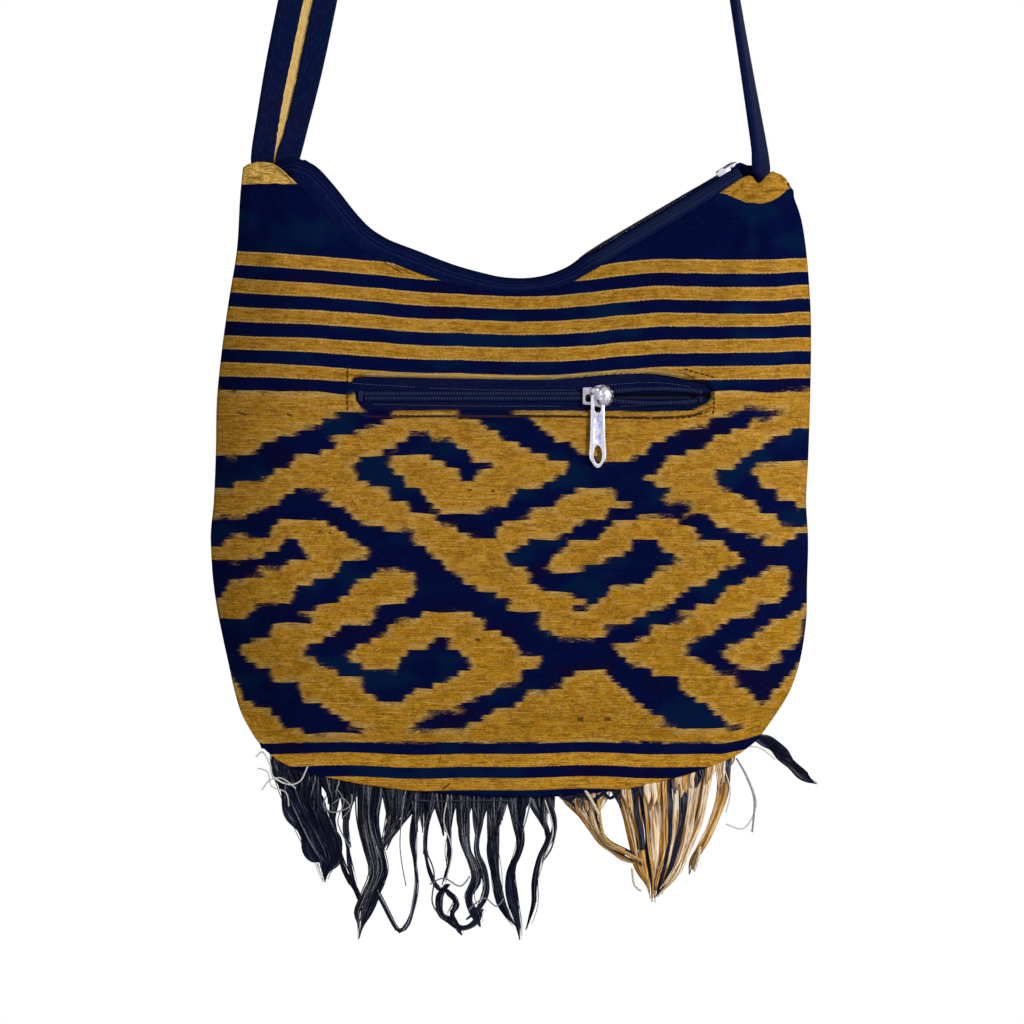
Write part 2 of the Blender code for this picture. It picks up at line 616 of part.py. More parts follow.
def main_zip():
    """Tapes, coils, stop, end tab, slider and pull of the curved zip along the top."""
    stations = crest_stations()
    for name, side in (("main_tape_front", -1), ("main_tape_back", 1)):
        main_tape(name, side, stations)
    for name, side in (("main_coil_front", -1), ("main_coil_back", 1)):
        main_coil(name, side, stations[1:])
    first, tangent, normal, _ = stations[0]
    axes = (Vector((tangent.x, 0, tangent.y)), Vector((0, 1, 0)), Vector((normal.x, 0, normal.y)))
    stop = box("stop", (0.2, -2.4, COIL_UNDER), (2.4, 2.4, 0.5))
    placed(stop, Vector((first.x, 0, first.y)), *axes)
    make_node(stop, "main_bottom_stop", STEEL, 1.0, 0.35)
    along = Vector((math.cos(RISE), 0, math.sin(RISE)))
    out = Vector((-math.sin(RISE), 0, math.cos(RISE)))
    spot = Vector((MAIN_SLIDER_X, 0, MAIN_START_Z + (MAIN_SLIDER_X - MAIN_START_X) * math.tan(RISE)))
    outline = [(-5.0, -2.7), (-4.4, -3.0), (3.2, -3.0), (4.2, -2.4), (4.6, -1.2), (4.6, 1.2), (4.2, 2.4),
               (3.2, 3.0), (-4.4, 3.0), (-5.0, 2.7)]
    body = slider_body("body", outline, 2.4, 3.0, 4.4, (1.9, 3.6), (-2.8, 2.8, 5.0))
    placed(body, spot, along, Vector((0, 1, 0)), out)
    make_node(body, "main_slider", STEEL, 1.0, 0.3, spot)
    droop = math.radians(MAIN_PULL_DROOP)
    hang = Vector((0, math.cos(droop), 0)) - out * math.sin(droop)
    lift = out * math.cos(droop) + Vector((0, math.sin(droop), 0))
    pull = tab("pull", 27.0, 7.0)
    hinge = spot + Vector((0, MAIN_PULL_BACK, 0)) + out * MAIN_PULL_OUT
    placed(pull, hinge, along, hang, lift)
    make_node(pull, "main_pull", STEEL, 1.0, 0.3, hinge)
    reach = 6.2 + GAP
    end = [(reach, -8.5), (reach, 0.6), (reach + 1.2, 0.4), (reach + 4.2, -2.0), (reach + 5.4, -4.0), (reach + 3.7, -8.5)]
    made = prism("end", end, -3.6, 3.6)
    placed(made, spot, along, out, Vector((0, 1, 0)))
    make_node(made, "main_end_tab", NAVY)


def strand(points, flat=0.62, seam=None):
    """A hank of yarn: points are grid column, grid row, half width in grid steps and y in millimetres."""
    rings = []
    spots = [Vector((*at(c, r), y)) for c, r, _, y in points]
    for i, (_, __, half, _) in enumerate(points):
        before, after = spots[max(i - 1, 0)], spots[min(i + 1, len(spots) - 1)]
        tangent = Vector((after.x - before.x, 0, after.y - before.y)).normalized()
        side = Vector((tangent.z, 0, -tangent.x))
        centre = Vector((spots[i].x, spots[i].z, spots[i].y))
        wide = max(half * GRID, 0.3)
        deep = 0.45 if i == 0 else (0.6 if i == 1 else max(wide * flat, 0.35))
        rings.append([
            centre + side * (wide * math.cos(k * math.pi / 2.5)) + Vector((0, deep * math.sin(k * math.pi / 2.5), 0))
            for k in range(5)
        ])
    return tube("strand", rings)


def fringe(name, spans, strands, colour):
    """A thin heading between the panels along the seam, with the hanks joined to it."""
    outer = []
    for column in spans:
        x = across(column)
        low = through(BOTTOM_EDGE, x)
        outer.append([Vector((x, -0.5, low - 1.2)), Vector((x, 0.5, low - 1.2)), Vector((x, 0.5, low + 7.0)),
                      Vector((x, -0.5, low + 7.0))])
    heading = tube("heading", outer)
    return make_node(combine(heading, [strand(points) for points in strands]), name, colour)


NAVY_STRANDS = (
    ((280, 752, 12, 0.0), (283, 766, 13, 0.0), (294, 800, 16, 1.0), (307, 838, 13, 1.2), (318, 866, 7, 0.8), (324, 882, 1.5, 0.4)),
    ((312, 766, 13, 0.0), (313, 778, 14, 0.0), (317, 812, 11, -0.8), (323, 848, 9, -0.6), (326, 878, 3, 0.2)),
    ((334, 770, 6, 0.0), (335, 783, 6, 0.0), (331, 805, 4, 1.0), (336, 838, 4, 0.6), (353, 880, 4, 0.4), (361, 914, 3, 0.2), (360, 934, 1, 0)),
    ((352, 774, 7, 0.0), (353, 787, 6, 0.0), (344, 822, 4, -0.8), (349, 862, 4, -0.4), (362, 905, 4, 0.0), (359, 930, 1.5, 0)),
    ((374, 778, 11, 0.0), (374, 790, 12, 0.0), (370, 830, 9, 0.4), (367, 868, 6, 0.4), (371, 900, 6, 0.2), (366, 922, 3, 0), (359, 936, 1, 0)),
    ((392, 780, 8, 0.0), (392, 792, 8, 0.0), (386, 822, 7, -0.9), (377, 850, 4, -0.6), (373, 890, 4, -0.2)),
    ((404, 781, 8, 0.0), (404, 794, 8, 0.0), (403, 818, 7, 0.7), (396, 842, 2, 0.9)),
    ((420, 782, 7, 0.0), (420, 795, 7, 0.0), (414, 830, 5, -0.2), (415, 862, 4, 0.2), (409, 900, 3, 0.2), (402, 930, 1, 0)),
    ((434, 784, 6, 0.0), (434, 797, 6, 0.0), (428, 832, 3.5, 0.8), (426, 862, 2.5, 0.6), (439, 890, 2, 0.4), (448, 900, 1.5, 0.2)),
    ((448, 785, 6, 0.0), (448, 798, 6, 0.0), (449, 832, 3.5, -0.8), (450, 862, 2.2, -0.6), (447, 884, 1, -0.4)),
    ((463, 786, 8, 0.0), (463, 799, 8, 0.0), (463, 834, 7, 0.4), (461, 868, 6, 0.4), (452, 895, 6, 0.2), (456, 916, 4, 0), (460, 933, 1, 0)),
    ((480, 788, 6, 0.0), (480, 800, 6, 0.0), (477, 838, 5, -0.6), (479, 872, 4, -0.4), (467, 902, 3.5, -0.1), (461, 926, 1.5, 0)),
    ((496, 788, 7, 0.0), (496, 801, 7, 0.0), (494, 842, 5.5, 0.4), (496, 878, 4.5, 0.4), (505, 912, 2.5, 0.2)),
    ((513, 788, 7, 0.0), (513, 801, 7, 0.0), (515, 836, 5.5, -0.5), (513, 872, 5, -0.3), (510, 905, 5, 0), (516, 926, 3, 0), (520, 939, 1, 0)),
    ((530, 788, 6, 0.0), (530, 801, 6, 0.0), (529, 842, 4.5, 0.4), (531, 880, 4, 0.4), (528, 908, 3.5, 0.2), (522, 931, 1.5, 0)),
    ((545, 788, 4.5, 0.0), (545, 801, 4.5, 0.0), (550, 832, 2.5, -0.5), (546, 858, 2.2, -0.4), (539, 910, 1.2, -0.1)),
)

GOLD_STRANDS = (
    ((572, 784, 12, 0.0), (573, 797, 13, 0.0), (586, 816, 9, 0.4), (600, 840, 6, 0.5), (622, 858, 5, 0.4), (646, 874, 4, 0.2)),
    ((597, 781, 10, 0.0), (597, 793, 10, 0.0), (595, 822, 4.5, -0.6), (604, 845, 4, -0.6), (636, 864, 4, -0.3), (650, 882, 3, 0)),
    ((622, 778, 8, 0.0), (623, 790, 9, 0.0), (631, 826, 7, 0.9), (640, 858, 5, 0.8), (651, 888, 3, 0.2)),
    ((643, 774, 9, 0.0), (644, 787, 10, 0.0), (649, 830, 9, -0.5), (652, 868, 7, -0.3), (653, 898, 2.5, 0)),
    ((664, 770, 9, 0.0), (664, 782, 10, 0.0), (665, 828, 9, 0.6), (660, 868, 7, 0.5), (655, 896, 2.5, 0)),
    ((686, 764, 9, 0.0), (686, 776, 10, 0.0), (682, 824, 9, -0.5), (672, 862, 6, -0.3), (659, 892, 2.5, 0)),
    ((708, 757, 9, 0.0), (708, 769, 10, 0.0), (700, 812, 8, 0.6), (688, 846, 5, 0.5), (668, 880, 3.5, 0.2), (656, 894, 2, 0)),
    ((724, 751, 6, 0.0), (725, 763, 7, 0.0), (721, 800, 6, -0.5), (710, 836, 4.5, -0.3), (686, 868, 3.5, -0.1), (662, 890, 2, 0)),
)

SIDE_STRAND = ((748, 732, 3.0, 0.0), (760, 739, 3.2, 0.0), (774, 746, 4.5, 0.6), (790, 760, 4, 0.8), (804, 770, 3.4, 0.6), (818, 783, 1.2, 0.4))


def fringes():
    fringe("fringe_navy", (266, 280, 300, 340, 390, 450, 500, 545, 553), NAVY_STRANDS, NAVY)
    fringe("fringe_gold", (557, 590, 630, 665, 700, 731), GOLD_STRANDS, OCHRE)
    make_node(strand(SIDE_STRAND), "fringe_side", NAVY)


def main():
    for old in list(bpy.data.objects):
        bpy.data.objects.remove(old)
    panel("front_panel", -1, FRONT_TOP, OCHRE)
    panel("back_panel", 1, BACK_TOP_EDGE, OCHRE)
    lining()
    pocket_bag()
    strap()
    main_zip()
    pocket_zip()
    fringes()


main()
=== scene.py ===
"""Looks of a hand-woven sling bag that hangs by its strap: patterned cloth, zips, strap and yarn fringe.

Outlines are written on a grid of 0.45 mm steps, counted from the left and from the top, as the bag is seen
from straight in front. The bag's own lengths are in millimetres: x from the grid's middle, y from the middle
plane and z from the bottom seam. place() takes them to the metres of the row frame.
"""

import logging
import math
import random
from dataclasses import dataclass, field
from enum import Enum
from typing import Iterable, Sequence

import bmesh
import bpy
import numpy as np
from mathutils import Matrix, Vector


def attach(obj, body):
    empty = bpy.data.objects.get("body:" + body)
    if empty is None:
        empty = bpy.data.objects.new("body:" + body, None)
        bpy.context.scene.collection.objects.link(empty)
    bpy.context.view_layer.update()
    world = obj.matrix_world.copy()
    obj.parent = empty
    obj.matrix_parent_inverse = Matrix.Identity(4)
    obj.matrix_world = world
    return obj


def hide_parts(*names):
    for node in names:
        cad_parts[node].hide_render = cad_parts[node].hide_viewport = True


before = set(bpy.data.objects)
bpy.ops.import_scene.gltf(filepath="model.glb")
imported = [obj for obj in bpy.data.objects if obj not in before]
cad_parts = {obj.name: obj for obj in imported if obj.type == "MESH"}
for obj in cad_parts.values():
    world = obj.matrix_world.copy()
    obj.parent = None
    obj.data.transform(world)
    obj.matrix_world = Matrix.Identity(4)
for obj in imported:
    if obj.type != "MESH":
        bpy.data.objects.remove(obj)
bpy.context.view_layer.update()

LOG = logging.getLogger("sling_bag")

GRID = 0.45
GRID_MIDDLE = 511.5
GRID_BASE = 797.0
GRID_SIZE = 1024.0
VIEW_MIDDLE = 512.0
FAR_FROM_SLIT = 99.0
VIEW_DISTANCE = 2400.0
CREST_X = 14.805
FRAME_TOP = 838.9034
BLACK = (0.0, 0.0, 0.0)

Pair = tuple[float, float]
Points = Sequence[Pair]


def across(column: float) -> float:
    """The bag's x of a column of the grid."""
    return (column - GRID_MIDDLE) * GRID


def height(row: float) -> float:
    """The bag's z of a row of the grid."""
    return (GRID_BASE - row) * GRID


def at(column: float, row: float) -> Pair:
    """The bag's x and z of a point of the grid."""
    return (across(column), height(row))


def on_grid(points: Points) -> list[Pair]:
    """The bag's x and z of several points of the grid."""
    return [at(*point) for point in points]


def place(points: np.ndarray) -> np.ndarray:
    """The bag's points in millimetres, taken to the row frame in metres."""
    return (np.asarray(points, float) - (CREST_X, 0.0, FRAME_TOP)) / 1000.0


def smooth(share: np.ndarray | float) -> np.ndarray | float:
    """A soft step from 0 to 1 as the share goes from 0 to 1."""
    share = np.clip(share, 0.0, 1.0)
    return share * share * (3.0 - 2.0 * share)


def rounded(points: Sequence[Sequence[float]], steps: int) -> np.ndarray:
    """A smooth line through points, with equal steps between neighbours.

    Args:
        points: the points that the line passes through, of any dimension.
        steps: how many pieces each stretch is cut into.

    Returns:
        The line's points, one a row.
    """
    ends = np.array([points[0], *points, points[-1]], float)
    a, b, c, d = ends[:-3], ends[1:-2], ends[2:-1], ends[3:]
    lines = []
    for step in range(steps):
        t = step / steps
        lines.append(0.5 * (2 * b + (c - a) * t + (2 * a - 5 * b + 4 * c - d) * t**2
                            + (3 * b - a - 3 * c + d) * t**3))
    line = np.stack(lines, axis=1).reshape(-1, ends.shape[1])
    return np.vstack([line, ends[-1]])


def lengths_along(line: np.ndarray) -> np.ndarray:
    """The length of a line up to each of its points."""
    return np.concatenate([[0.0], np.cumsum(np.linalg.norm(np.diff(line, axis=0), axis=1))])


def even(line: np.ndarray, count: int) -> np.ndarray:
    """A line's points set at equal distances.

    Args:
        line: the points, one a row.
        count: how many points come back.

    Returns:
        The new points, one a row.
    """
    run = lengths_along(line)
    goals = np.linspace(0.0, run[-1], count)
    return np.stack([np.interp(goals, run, line[:, k]) for k in range(line.shape[1])], axis=1)


LEFT_EDGE = rounded(on_grid((
    (262, 745), (255.5, 738), (242, 714), (234.5, 690), (229, 665), (223.5, 640), (217.5, 610),
    (213.2, 580), (211.3, 552), (211, 531), (214, 500), (216, 450), (217, 400), (222, 350), (229, 300),
    (237, 250), (240, 200), (243, 168))), 6)
RIGHT_EDGE = rounded(on_grid((
    (757, 740), (775, 715), (790, 690), (800, 660), (806, 620), (807, 580), (808, 540), (806, 500),
    (808, 460), (810, 400), (811, 340), (810, 300), (806, 250), (800, 215), (789, 187))), 6)
BOTTOM_EDGE = rounded(on_grid((
    (262, 745), (268, 752), (280, 761), (300, 770), (340, 780), (390, 788), (450, 794), (500, 797),
    (545, 797), (590, 793), (630, 788), (665, 780), (700, 770), (735, 756), (757, 740))), 4)
TOP_LEFT = on_grid((
    (243, 168), (250, 164), (264, 162.5), (277, 166.5), (298, 185), (316, 204), (332, 223), (348, 239.5),
    (368, 253), (392, 263.5), (424, 276), (460, 286), (500, 292.5), (532, 292.5), (562, 287.5), (584, 276),
    (616, 257.5), (650, 237.5), (684, 217), (714, 197.5), (738, 181)))
NOTCH = ((-3.2, 2.9), (0.0, -0.6), (3.7, 2.8), (6.6, 4.9), (10.4, 2.2))
NOTCH_Z = height(183.2)
FRONT_NOTCH = across(757.3)
BACK_NOTCH = across(763.5)
SLIT_WINDOW = on_grid((
    (352, 381), (358, 377), (400, 377.5), (450, 378.6), (520, 380), (560, 379), (600, 375.5), (640, 373.5),
    (665, 375.5), (688, 380), (702, 383), (709, 388), (711, 394), (708, 401), (700, 405.5), (690, 409),
    (660, 411), (600, 410.5), (520, 410), (440, 409.8), (390, 410.5), (365, 409), (358.5, 402), (356, 393),
    (352, 387)))
CREST_LINE = on_grid((
    (303, 160.5), (311, 163.5), (320, 170), (330, 181), (340, 193), (350, 206), (360, 218), (370, 228),
    (380, 235), (390, 240.5), (400, 244.5), (420, 252), (440, 260), (460, 267), (480, 272.5), (500, 277),
    (520, 278.5), (538, 277), (554, 272.8), (568, 266.6), (579, 258.9), (589, 251.6)))
TOP_DEPTH = np.array([(across(column), out) for column, out in (
    (242.6, 1.35), (249.7, 3.3), (267.1, 4.6), (284.8, 6.8), (307.1, 7.6), (344.8, 7.6), (733.7, 7.9),
    (774.2, 8.1), (788.4, 1.35))])


@dataclass(frozen=True)
class BagForm:
    """The bag's outline and how far its cloth stands from the middle plane."""

    half_depth: float = 18.0
    seam_depth: float = 1.35
    bottom_extra: float = 0.85
    flat_share: float = 0.68
    belly_height: float = 65.0
    neck_start: float = height(352.5)

    def top_edge(self, notch_x: float) -> np.ndarray:
        """The top edge of a panel from left to right, with the notch that the strap leaves by."""
        notch = [(notch_x + x, NOTCH_Z + z) for x, z in NOTCH]
        return rounded([*TOP_LEFT, *notch, tuple(RIGHT_EDGE[-1])], 5)

    def depth(self, x: np.ndarray, z: np.ndarray) -> np.ndarray:
        """How far the outside of a panel stands from the bag's middle plane.

        Args:
            x: places across the bag.
            z: heights of the same places.

        Returns:
            The distances, in millimetres.
        """
        left = np.interp(z, LEFT_EDGE[:, 1], LEFT_EDGE[:, 0])
        right = np.interp(z, RIGHT_EDGE[:, 1], RIGHT_EDGE[:, 0])
        low = np.interp(x, BOTTOM_EDGE[:, 0], BOTTOM_EDGE[:, 1])
        top = self.top_edge(FRONT_NOTCH)
        high = np.interp(x, top[:, 0], top[:, 1])
        share = np.minimum(np.abs((2 * x - left - right) / (right - left)), 1.0)
        beyond = np.maximum(share - self.flat_share, 0.0) / (1.0 - self.flat_share)
        rise = np.clip((z - low) / self.belly_height, 0.0, 1.0)
        seam = self.seam_depth + self.bottom_extra * np.maximum(0.0, 1.0 - (z - low) / 25.0)
        body = seam + (self.half_depth - seam) * (1.0 - beyond**2) * (1.0 - (1.0 - rise) ** 2)
        neck = smooth((z - self.neck_start) / np.maximum(high - self.neck_start, 1.0))
        return body * (1.0 - neck) + np.interp(x, TOP_DEPTH[:, 0], TOP_DEPTH[:, 1]) * neck


FORM = BagForm()


OCHRE_SHAPES: tuple[Points, ...] = (
    ((216, 388), (230, 392), (290, 392), (330, 394), (356, 393), (357, 400), (371, 405), (358, 409),
     (362, 411.5), (330, 412), (336, 418), (322, 421), (320, 426), (304, 428), (298, 432), (282, 434),
     (276, 440), (265, 441), (258, 449), (246, 453), (234, 458), (222, 455), (200, 456), (200, 388)),
    ((200, 488), (216, 488), (233, 491), (237, 480), (268, 479), (275, 470), (290, 466), (296, 456),
     (318, 455), (320, 451), (334, 448), (338, 443), (330, 438), (348, 434), (362, 430), (366, 427),
     (382, 427), (386, 424), (383, 421), (393, 419), (400, 417), (457, 418), (478, 419), (482, 425),
     (487, 430), (497, 432), (500, 438), (510, 441), (520, 447), (530, 450), (545, 456), (549, 461),
     (567, 464), (566, 470), (563, 476), (552, 480), (540, 485), (530, 488), (517, 490), (510, 497),
     (505, 507), (487, 509), (478, 513), (443, 513), (436, 515), (434, 520), (441, 525), (455, 526),
     (459, 532), (470, 537), (495, 538), (497, 530), (505, 523), (515, 520), (530, 519), (530, 512),
     (535, 509), (555, 508), (558, 505), (560, 498), (575, 496), (577, 491), (595, 489), (616, 491),
     (614, 497), (618, 501), (630, 504), (628, 508), (608, 509), (605, 515), (597, 521), (575, 524),
     (570, 531), (552, 538), (530, 539), (525, 544), (512, 549), (503, 553), (507, 562), (525, 570),
     (530, 575), (527, 581), (540, 588), (565, 593), (583, 600), (582, 605), (590, 606), (600, 601),
     (610, 593), (612, 587), (640, 585), (650, 579), (655, 573), (668, 569), (660, 567), (683, 561),
     (675, 555), (660, 547), (657, 540), (632, 541), (630, 548), (622, 556), (602, 560), (596, 565),
     (578, 567), (582, 571), (555, 572), (545, 568), (552, 560), (558, 553), (568, 547), (570, 541),
     (598, 539), (602, 535), (608, 528), (615, 523), (632, 521), (640, 516), (672, 516), (680, 523),
     (692, 528), (700, 536), (696, 541), (722, 541), (727, 548), (737, 554), (742, 561), (737, 566),
     (724, 567), (716, 576), (703, 583), (688, 587), (685, 593), (675, 597), (672, 602), (665, 606),
     (650, 611), (640, 617), (632, 620), (625, 625), (603, 627), (608, 632), (600, 637), (590, 639),
     (560, 638), (552, 633), (541, 630), (538, 623), (543, 618), (540, 612), (515, 611), (508, 607),
     (513, 601), (497, 598), (497, 592), (480, 590), (465, 583), (462, 575), (450, 571), (445, 564),
     (440, 559), (428, 553), (425, 546), (411, 541), (415, 531), (388, 531), (380, 525), (358, 521),
     (352, 515), (345, 509), (335, 505), (322, 500), (328, 490), (310, 489), (296, 488), (290, 492),
     (280, 498), (278, 504), (265, 508), (252, 511), (245, 516), (222, 516), (200, 518)),
    ((512, 411), (583, 410), (690, 410), (700, 405), (711, 400), (711, 393), (808, 390), (830, 390),
     (830, 430), (808, 430), (795, 429), (787, 434), (772, 437), (765, 443), (757, 450), (747, 453),
     (745, 458), (735, 463), (733, 470), (714, 470), (714, 477), (718, 483), (722, 489), (732, 491),
     (742, 498), (755, 503), (760, 514), (775, 517), (780, 524), (800, 527), (807, 526), (830, 526),
     (830, 531), (808, 531), (797, 535), (790, 540), (778, 545), (763, 545), (766, 539), (770, 535),
     (745, 535), (738, 532), (735, 529), (718, 526), (712, 520), (705, 516), (685, 515), (692, 511),
     (690, 506), (692, 502), (665, 502), (662, 499), (668, 495), (672, 489), (660, 485), (645, 478),
     (660, 472), (663, 465), (668, 457), (685, 455), (688, 450), (700, 449), (705, 446), (712, 441),
     (715, 436), (730, 434), (735, 429), (750, 427), (752, 420), (770, 419), (775, 416), (785, 414),
     (785, 409), (768, 408), (745, 406), (738, 412), (727, 414), (715, 418), (708, 421), (706, 427),
     (686, 427), (683, 431), (668, 435), (662, 440), (652, 443), (647, 450), (640, 456), (630, 459),
     (625, 463), (604, 463), (590, 452), (577, 449), (570, 444), (560, 441), (555, 437), (545, 431),
     (540, 427), (533, 422), (531, 416)),
    ((752, 471), (758, 464), (806, 463), (830, 463), (830, 509), (807, 509), (800, 508), (795, 502),
     (779, 500), (778, 490), (770, 489), (762, 484), (758, 478)),
    ((200, 549), (212, 549), (224, 545), (230, 538), (240, 535), (270, 537), (272, 528), (280, 521),
     (315, 519), (330, 525), (342, 531), (352, 540), (362, 546), (368, 551), (367, 556), (340, 562),
     (338, 568), (332, 576), (315, 578), (312, 583), (298, 586), (292, 592), (293, 600), (288, 604),
     (255, 605), (252, 612), (244, 618), (235, 620), (222, 620), (218, 612), (217, 598), (222, 598),
     (225, 592), (228, 588), (232, 582), (245, 580), (247, 577), (265, 576), (262, 573), (260, 570),
     (282, 568), (285, 563), (300, 560), (311, 557), (306, 551), (300, 545), (297, 538), (283, 542),
     (278, 550), (265, 552), (262, 558), (248, 557), (240, 562), (230, 562), (200, 560)),
    ((215, 672), (229, 672), (236, 684), (240, 690), (243, 697), (255, 705), (270, 707), (272, 713),
     (283, 726), (296, 728), (305, 733), (310, 735), (360, 733), (370, 728), (352, 725), (352, 721),
     (340, 717), (333, 711), (325, 707), (318, 702), (305, 700), (300, 690), (300, 681), (275, 681),
     (271, 675), (272, 668), (262, 667), (248, 660), (243, 655), (240, 650), (243, 645), (255, 642),
     (272, 637), (272, 630), (275, 624), (305, 624), (312, 622), (315, 616), (300, 613), (316, 611),
     (320, 604), (338, 603), (342, 598), (350, 595), (352, 588), (355, 583), (362, 580), (372, 578),
     (378, 571), (388, 570), (412, 571), (415, 580), (412, 585), (415, 590), (408, 597), (405, 602),
     (385, 602), (380, 607), (372, 610), (375, 617), (370, 622), (345, 623), (338, 628), (335, 633),
     (325, 637), (320, 644), (308, 644), (303, 650), (303, 657), (315, 660), (318, 666), (335, 668),
     (338, 676), (348, 679), (361, 680), (361, 688), (365, 692), (375, 697), (385, 703), (402, 704),
     (408, 697), (415, 691), (432, 689), (435, 684), (450, 680), (458, 676), (460, 671), (470, 668),
     (473, 663), (467, 657), (460, 650), (450, 648), (452, 638), (440, 637), (430, 640), (425, 648),
     (408, 650), (405, 655), (398, 663), (395, 670), (365, 671), (360, 663), (350, 660), (347, 655),
     (355, 649), (360, 643), (372, 641), (375, 637), (388, 635), (390, 627), (395, 622), (415, 620),
     (425, 613), (445, 611), (468, 612), (475, 618), (485, 621), (483, 628), (497, 632), (505, 638),
     (515, 645), (520, 650), (518, 656), (540, 657), (540, 662), (535, 668), (522, 672), (520, 677),
     (515, 685), (500, 686), (497, 690), (487, 694), (478, 698), (465, 699), (463, 704), (452, 708),
     (463, 711), (428, 712), (432, 717), (420, 720), (415, 725), (408, 731), (463, 731), (467, 727),
     (478, 724), (484, 718), (490, 713), (500, 708), (515, 705), (522, 699), (528, 693), (548, 692),
     (553, 688), (562, 686), (565, 680), (575, 678), (577, 672), (600, 670), (607, 676), (620, 686),
     (628, 693), (635, 700), (645, 709), (660, 716), (666, 723), (657, 725), (675, 726), (678, 730),
     (740, 729), (743, 727), (728, 723), (722, 717), (715, 712), (710, 706), (700, 702), (690, 695),
     (682, 690), (680, 683), (678, 676), (657, 676), (652, 670), (645, 665), (630, 663), (625, 658),
     (618, 652), (614, 645), (630, 644), (636, 641), (645, 638), (650, 632), (652, 626), (675, 624),
     (683, 622), (690, 616), (680, 613), (695, 611), (697, 604), (715, 603), (720, 597), (725, 592),
     (728, 585), (745, 582), (748, 577), (760, 575), (765, 570), (785, 568), (790, 572), (788, 582),
     (790, 588), (785, 592), (783, 598), (778, 601), (758, 602), (756, 609), (752, 615), (735, 618),
     (720, 625), (716, 632), (703, 638), (690, 641), (683, 646), (688, 652), (683, 655), (700, 661),
     (712, 667), (714, 673), (733, 675), (737, 681), (733, 687), (750, 692), (754, 699), (762, 702),
     (770, 699), (772, 693), (780, 687), (785, 680), (795, 670), (800, 662), (830, 662), (830, 743.5),
     (215, 743.5)),
    ((830, 603), (806, 603), (800, 611), (785, 617), (772, 621), (768, 627), (757, 629), (753, 637),
     (745, 641), (730, 644), (735, 648), (722, 651), (725, 658), (733, 662), (740, 664), (738, 668),
     (768, 668), (772, 663), (780, 660), (777, 652), (795, 646), (797, 642), (801, 635), (802, 620),
     (806, 612), (830, 612)),
    ((393, 405), (457, 405), (457, 417.5), (393, 417)),
)

CORNER_SHAPES: tuple[Points, ...] = (
    ((225, 150), (240, 150), (310, 150), (283, 166), (299, 184.5), (280, 183.5), (225, 184.5)),
    ((714, 192.5), (727, 187), (735, 181), (741, 177), (750, 160), (800, 160), (812, 186), (788, 189),
     (780, 196), (770, 202), (760, 203.5), (745, 202), (735, 198), (726, 194)),
)

NAVY_SHAPES: tuple[Points, ...] = (
    ((410, 433), (429, 432), (432, 439), (452, 440), (457, 446), (466, 449), (470, 455), (474, 461),
     (496, 463), (493, 467), (485, 471), (475, 476), (468, 481), (460, 479), (457, 470), (446, 466),
     (443, 463), (431, 461), (428, 455), (410, 454), (393, 456), (389, 463), (395, 472), (406, 478),
     (408, 486), (420, 488), (424, 495), (432, 503), (438, 508), (443, 514), (436, 516), (432, 514),
     (412, 514), (409, 505), (400, 501), (389, 500), (388, 489), (373, 488), (368, 483), (358, 480),
     (356, 473), (347, 467), (356, 463), (360, 457), (382, 454), (384, 449), (395, 447), (398, 441),
     (406, 439)),
    ((573, 605.5), (586, 605.5), (586, 612), (573, 612)),
)

BACK_FILL: tuple[Points, ...] = (
    ((512, 413), (530, 404), (560, 399), (600, 393), (711, 392), (711, 413)),
    ((393, 412), (402, 405), (420, 398), (440, 401), (457, 411)),
    ((330, 413), (330, 392), (365, 393), (384, 397), (372, 404), (360, 412)),
)

STRIPE_COLUMNS = (240, 260, 280, 300, 320, 340, 360, 380, 400, 420, 440, 460, 490, 520, 550, 580, 600, 620,
                  640, 660, 700, 740, 780, 800)
STRIPE_TOPS = {
    250: (250.5, 252.5, 253, 255, 256, 258, 260, 261, 264, 266, 267, 268, 269.5, 271, 270, 267.5, 266, 262,
          259.5, 259, 259, 260, 259, 258),
    278: (277, 280, 281, 282, 283, 285, 287, 288, 290, 292, 293, 294, 295.5, 297, 296, 293, 291, 289, 286.5,
          285, 287, 287, 287, 284),
    306: (306, 308, 309, 309, 310, 312, 313, 315, 317, 318.5, 319, 319, 320.5, 322, 321, 319, 318, 315, 314,
          312, 313, 314, 314, 311),
    334: (335, 337, 337, 337, 338, 340, 341, 342, 344, 345, 346, 346, 347, 348, 347, 346, 345, 342, 341, 340,
          339, 339, 338, 337),
    362: (362, 363, 364, 365, 366, 368, 369.5, 371, 372, 373, 373, 373, 374.5, 375, 375.5, 374, 372, 369.5,
          368, 367, 366, 366, 365, 364),
}
LAST_STRAIGHT_ROW = 436.0


def signed_distance(shape: Points, columns: np.ndarray, rows: np.ndarray) -> np.ndarray:
    """How far points lie from the edge of a shape, below 0 inside it.

    Args:
        shape: the corners of the closed shape.
        columns: columns of the points.
        rows: rows of the points.

    Returns:
        One distance a point, in grid steps.
    """
    corners = np.array(shape, float)
    after = np.roll(corners, -1, axis=0)
    best = np.full(columns.shape, 1e9)
    inside = np.zeros(columns.shape, bool)
    for (ax, ay), (bx, by) in zip(corners, after):
        ex, ey = bx - ax, by - ay
        wx, wy = columns - ax, rows - ay
        share = np.clip((wx * ex + wy * ey) / max(ex * ex + ey * ey, 1e-9), 0.0, 1.0)
        best = np.minimum(best, (wx - ex * share) ** 2 + (wy - ey * share) ** 2)
        if ay != by:
            crosses = (ay > rows) != (by > rows)
            inside ^= crosses & (columns < ex * (rows - ay) / (by - ay) + ax)
    return np.sqrt(best) * np.where(inside, -1.0, 1.0)


